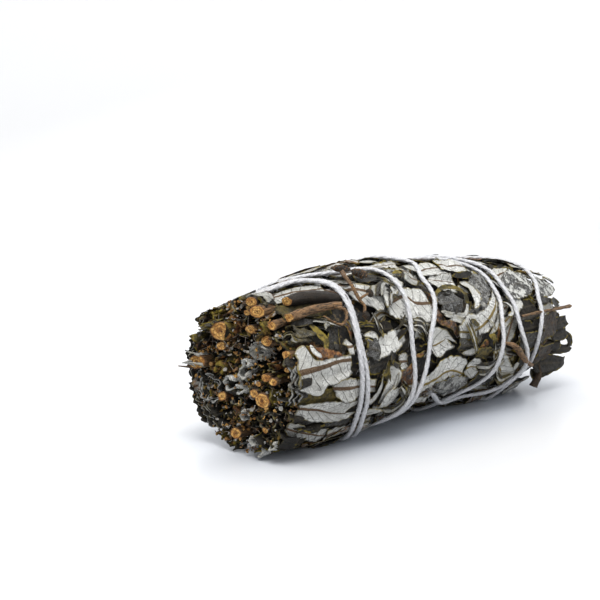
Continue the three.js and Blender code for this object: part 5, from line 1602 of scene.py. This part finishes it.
def add_crumbs(wood, leaves):
    """Broken bits of leaf and bark, and pale threads, caught all over the cut end."""
    for k in range(CRUMB_COUNT):
        distance, a = CRUMB_REACH * math.sqrt(RNG.uniform(0, 1)), RNG.uniform(0, 2 * math.pi)
        side, up = distance * math.sin(a), distance * math.cos(a)
        if in_hollow(side, up) and k % 5:
            continue
        side, up = (float(v) for v in out_of_stems(np.array(side), np.array(up)))
        x = CUT_X - RNG.uniform(-2.2, 0.9)
        centre = place(x, math.degrees(math.atan2(side, up)), math.hypot(side, up))
        ways = np.linalg.qr(RNG.normal(0, 1, (3, 3)))[0]
        size = RNG.uniform(0.15, 0.55) * np.array([1, RNG.uniform(0.35, 1)])
        t = np.array([-1, 0, 1])
        down, over = t[:, None, None], t[None, :, None]
        flat = (size[0] * down * ways[0] + size[1] * over * ways[1]) * (1 - 0.3 * np.abs(down * over))
        bend = 0.4 * size[0] * down**2 * ways[2]
        top = centre + flat + bend + RNG.normal(0, 0.04, (3, 3, 3))
        bottom = top - 0.16 * ways[2]
        both = np.concatenate([top.reshape(-1, 3), bottom.reshape(-1, 3)])
        kind = RNG.uniform()
        if kind < 0.5:
            look = (RNG.uniform(0, 1) ** 1.5, RNG.uniform(0.3, 1), 0)
            wood.add(both, sheet_faces(3, 3), look=look, wear=(RNG.uniform(0.25, 0.8), RNG.uniform(), 0))
        else:
            leaves.add(both, sheet_faces(3, 3), share=(2, 2), look=(float(kind > 0.72), 0.7, 0),
                       wear=(0.2, 0.3, 0), tint=(float(kind > 0.88), 0, 0))
    for _ in range(THREADS):
        distance, a = THREAD_REACH * math.sqrt(RNG.uniform(0, 1)), RNG.uniform(0, 2 * math.pi)
        start = place(CUT_X - RNG.uniform(0, 1.2), math.degrees(a), distance)
        t = np.linspace(0, 1, 7)[:, None]
        way, curl = RNG.normal(0, 1.3, 3) * (0.4, 1, 1), RNG.normal(0, 0.9, 3)
        fibre(leaves, start + way * t + curl * t * t, 0.12, look=(0, 0.9, 0), share=(2, 2))


def add_cut_end():
    ends = [Bunch() for _ in range(SPRIGS)]
    heart, crumbs, flakes = Bunch(), Bunch(), Bunch()
    add_edges(ends, heart)
    add_wound_leaves(ends)
    add_end_details(ends, heart)
    add_splinters(ends[3])
    add_black_leaves(ends[1])
    add_crumbs(crumbs, flakes)
    for k, piece in enumerate(ends):
        piece.object(f"end_leaves_{k + 1}", LEAF, "inner_leaf", [f"sprig_{k + 1}_leaves"])
    heart.object("end_ruffles", LEAF, "inner_leaf", ["heart_leaves"])
    crumbs.object("end_crumbs", WOOD, "inner_leaf", ["heart_leaves"], shade_smooth=False)
    flakes.object("end_flakes", LEAF, "inner_leaf", ["heart_leaves"], shade_smooth=False)


add_cut_end()


# The string
STRING_RADIUS = 0.55
STRING_LIFT = 0.5
STRING_PRESS = 0.7
STRING_STEP = 0.5
STRING_STIFF = 7
# A turn less than a gap from an earlier one is lifted over it. The last points wound don't count as earlier.
CROSS_GAP, CROSS_LIFT, LAST_POINTS = 1.6, 1.3, 60

# The string's way: a place along the roll and an angle that goes on from turn to turn
STRING_WAY = [
    [-43, -100], [-45, -70], [-45.4, -35], [-44, -5], [-43.5, 3], [-41, 7], [-35, 10], [-30.5, 17],
    [-29.3, 27], [-29.6, 40], [-30.2, 52], [-30.8, 66], [-30.6, 80], [-30, 94], [-29.6, 103], [-29, 114],
    [-28.5, 127],
    [-26, 145], [-23, 165], [-22, 185], [-26, 225], [-33, 265], [-40, 305], [-45, 335],
    [-46.4, 355], [-46, 363], [-43.5, 369], [-37, 372], [-32.8, 380], [-31.4, 389], [-31.6, 400], [-32.1, 412],
    [-32.7, 426], [-32.6, 440], [-32, 454], [-31.7, 463], [-31.1, 474], [-30.6, 487], [-28.6, 505],
    [-26.5, 525], [-26, 545], [-28, 585], [-31, 625], [-34, 665], [-36, 700], [-34.8, 716],
    [-30, 722], [-25, 724], [-18, 727], [-14.8, 737], [-14.2, 747], [-14, 760], [-14.4, 775], [-15.2, 790],
    [-15.3, 805], [-14.9, 817], [-14.8, 829], [-15.2, 839], [-16.8, 850], [-19.2, 862], [-21, 885],
    [-19.5, 905], [-14, 945], [-9, 990], [-5, 1035], [-1.5, 1070],
    [1, 1080], [3.2, 1089], [1.2, 1100], [-1.8, 1113], [-2.5, 1124], [-3.5, 1134], [-5, 1142], [-6.8, 1151],
    [-8.3, 1158], [-9, 1165], [-9.8, 1175], [-10.6, 1183], [-11.7, 1191], [-13, 1200], [-14.8, 1211],
    [-17.2, 1223], [-18.6, 1240], [-17, 1262], [-11, 1300], [-3, 1345], [6, 1390], [12, 1425],
    [14, 1440], [18, 1450], [22.3, 1459], [24, 1467], [24, 1477], [23.5, 1484], [23, 1491], [22.3, 1498],
    [20.5, 1506], [18.7, 1514], [17.7, 1522], [17.2, 1531], [16.7, 1539], [16.4, 1547], [15.6, 1555],
    [14, 1561], [12, 1569], [9.5, 1576], [6, 1595], [4.5, 1620], [8, 1660], [13, 1700], [19, 1745], [24, 1778],
    [30, 1791], [37, 1799], [41.5, 1808], [43.2, 1817], [43, 1826], [42, 1835], [41, 1845], [39, 1853],
    [37, 1860], [36.2, 1867], [35.4, 1874], [34.5, 1880], [34, 1889], [34, 1898], [34.5, 1909], [34.8, 1916],
    [33.8, 1922], [31.5, 1929], [29.5, 1936], [27, 1950], [24, 1975], [22, 2000], [20, 2050], [18, 2100],
    [16, 2140], [16.6, 2160], [20.4, 2169], [24.4, 2178], [26.2, 2187], [26.2, 2197], [25.8, 2207],
    [25.8, 2214], [26.2, 2221], [25.8, 2228], [25.4, 2237], [25.8, 2247], [26.5, 2253], [27.5, 2259],
    [28, 2266], [28.4, 2273], [28, 2279], [26.5, 2286], [24.6, 2294], [21.5, 2300], [16, 2305], [10, 2308],
    [5, 2307], [1.5, 2299], [-2, 2291], [-4.5, 2286],
]


def string_course():
    """Places, angles and heights of the string's middle line over the roll, pressed into the pile."""
    line, _, length = stepped(on_flat(STRING_WAY), STRING_STEP, 2)
    count = len(line)
    x, angle = line[:, 0], line[:, 1] / MM_PER_DEGREE
    base = np.maximum(packed(x, angle, PILE.read(PILE.height, x, angle)), PILE.read(PILE.firm, x, angle))
    over = drape(base[:, None], STRING_STIFF, 1)[:, 0]
    height = blur(over[:, None], STRING_STIFF, 0.1)[:, 0] - STRING_PRESS + STRING_LIFT
    lifts = np.zeros(count)
    reach = 2 * STRING_RADIUS + CROSS_GAP
    for i in range(0, count, 2):
        earlier = np.arange(0, max(0, i - LAST_POINTS))
        gap = np.hypot(x[earlier] - x[i], turn_between(angle[earlier], angle[i]) * MM_PER_DEGREE)
        if len(gap) and gap.min() < reach:
            lifts[i:i + 2] = CROSS_LIFT * smooth(1 - gap.min() / reach)
    lifts = blur(drape(lifts[:, None], 3, 1), 4, 0.1)[:, 0]
    for k in range(0, count, 2):
        press_pile(x[k], angle[k], height[k] - STRING_RADIUS * 0.75)
    return x, angle, height + lifts, length


# The string's press on the pile: cells each way, millimetres flat under it, fading distance, and depth
PRESS_CELLS, PRESS_FLAT, PRESS_FADE, PRESS_DEPTH = 7, 0.5, 1.1, 2.5


def press_pile(x, angle, level):
    """Presses the pile under one point of the string down to a level."""
    i, j = PILE.cells(x, angle)
    span = np.arange(-PRESS_CELLS, PRESS_CELLS + 1)
    di, dj = np.meshgrid(span, span, indexing="ij")
    rows = np.clip(int(i) + di, 0, PILE.rows - 1)
    columns = (int(j) + dj) % PILE.columns
    gap = np.hypot(di, dj) * PILE.CELL
    share = np.exp(-((np.maximum(gap - PRESS_FLAT, 0) / PRESS_FADE) ** 2))
    top = packed(PILE.LOW + rows * PILE.CELL, columns * 360 / PILE.columns, PILE.height[rows, columns])
    press = np.clip(top - level, 0, PRESS_DEPTH) * share
    PILE.press[rows, columns] = np.maximum(PILE.press[rows, columns], press)


STRANDS, STRAND_TURN = 3, 4.2
STRING_SIDES = 24
STRING_SQUASH = (0.86, 1.08)
FUZZ_COUNT, FRAYED_COUNT = 2600, 70


def add_string():
    x, angle, height, length = string_course()
    points = place(x, angle, surface_radius(x, angle) + height)
    points[:, 2] = np.maximum(points[:, 2], STRING_RADIUS * 0.95)
    points = blur(points, 2.0, 0.1)
    rows = len(points)
    tangent, _, _ = turning_frames(points)
    out = np.stack([0 * x, points[:, 1] + ORIGIN[1], points[:, 2] - axis_height(x)], -1)
    out = unit(out - tangent * np.sum(out * tangent, axis=1)[:, None])
    side = np.cross(tangent, out)
    run = np.linspace(0, length, rows)[:, None]
    a = 2 * math.pi * np.arange(STRING_SIDES)[None, :] / STRING_SIDES
    twist = 2 * math.pi * run / STRAND_TURN
    lobes = np.abs(np.cos(STRANDS * (a - twist) / 2))
    loose = 1 + 0.07 * rough_noise(run / 3, 0, 81)
    uneven = 1 + 0.05 * rough_noise(run / 0.8, a * 3, 83)
    radius = STRING_RADIUS * loose * (0.74 + 0.32 * lobes) * uneven
    worn = np.clip((length - run) / 3, 0.35, 1)
    flat, broad = STRING_SQUASH
    spoke = out[:, None] * np.cos(a)[..., None] * flat + side[:, None] * np.sin(a)[..., None] * broad
    cover = points[:, None] + spoke * (radius * worn)[..., None]
    cover[..., 2] = np.maximum(cover[..., 2], 0.03)
    string = Bunch()
    uv = np.stack(np.broadcast_arrays(run, (a - twist) / STRAND_UNIT * STRANDS), -1)
    string.add(cover.reshape(-1, 3), grid_faces(rows, STRING_SIDES, True), uv=uv.reshape(-1, 2))
    add_fuzz(string, points, tangent, out, side)
    print("string length, mm:", round(float(np.linalg.norm(np.diff(points, axis=0), axis=1).sum())))
    string.object("wound_string", COTTON, "cotton", ["cotton_string"])


def add_fuzz(bunch, points, tangent, out, side):
    """Loose fibres along the string, and the frayed free end."""
    for _ in range(FUZZ_COUNT):
        k = int(RNG.integers(2, len(points) - 3))
        a = RNG.uniform(0, 2 * math.pi)
        spoke = out[k] * math.cos(a) + side[k] * math.sin(a)
        around = side[k] * math.cos(a) - out[k] * math.sin(a)
        start = points[k] + spoke * STRING_RADIUS * 0.9
        away = spoke * RNG.uniform(0.15, 0.6) + tangent[k] * RNG.normal(0, 0.7) + around * RNG.normal(0, 0.4)
        curl = RNG.normal(0, 0.3, 3)
        t = np.linspace(0, 1, 5)[:, None]
        line = start + away * t + curl * t * t
        line[:, 2] = np.maximum(line[:, 2], 0.02)
        fibre(bunch, line, FUZZ_WIDTH)
    for _ in range(FRAYED_COUNT):
        t = np.linspace(0, 1, 7)[:, None]
        away = tangent[-1] * RNG.uniform(1.0, 3.6) + RNG.normal(0, 0.9, 3)
        line = points[-1] - tangent[-1] * 0.8 + away * t + RNG.normal(0, 0.6, 3) * t * t
        line[:, 2] = np.maximum(line[:, 2], 0.02)
        fibre(bunch, line, FUZZ_WIDTH * 1.6)


add_string()

# The leaves' pieces are made last, when the string has pressed the pile.
for k, piece in enumerate(SPRIG_PIECES):
    piece.object(f"sprig_{k + 1}_blades", LEAF, "pale_leaf", [f"sprig_{k + 1}_leaves"])
for k, piece in DARK_PIECES.items():
    piece.object(f"dark_blade_{k}", LEAF, "dark_leaf", [f"dark_leaf_{k}"])
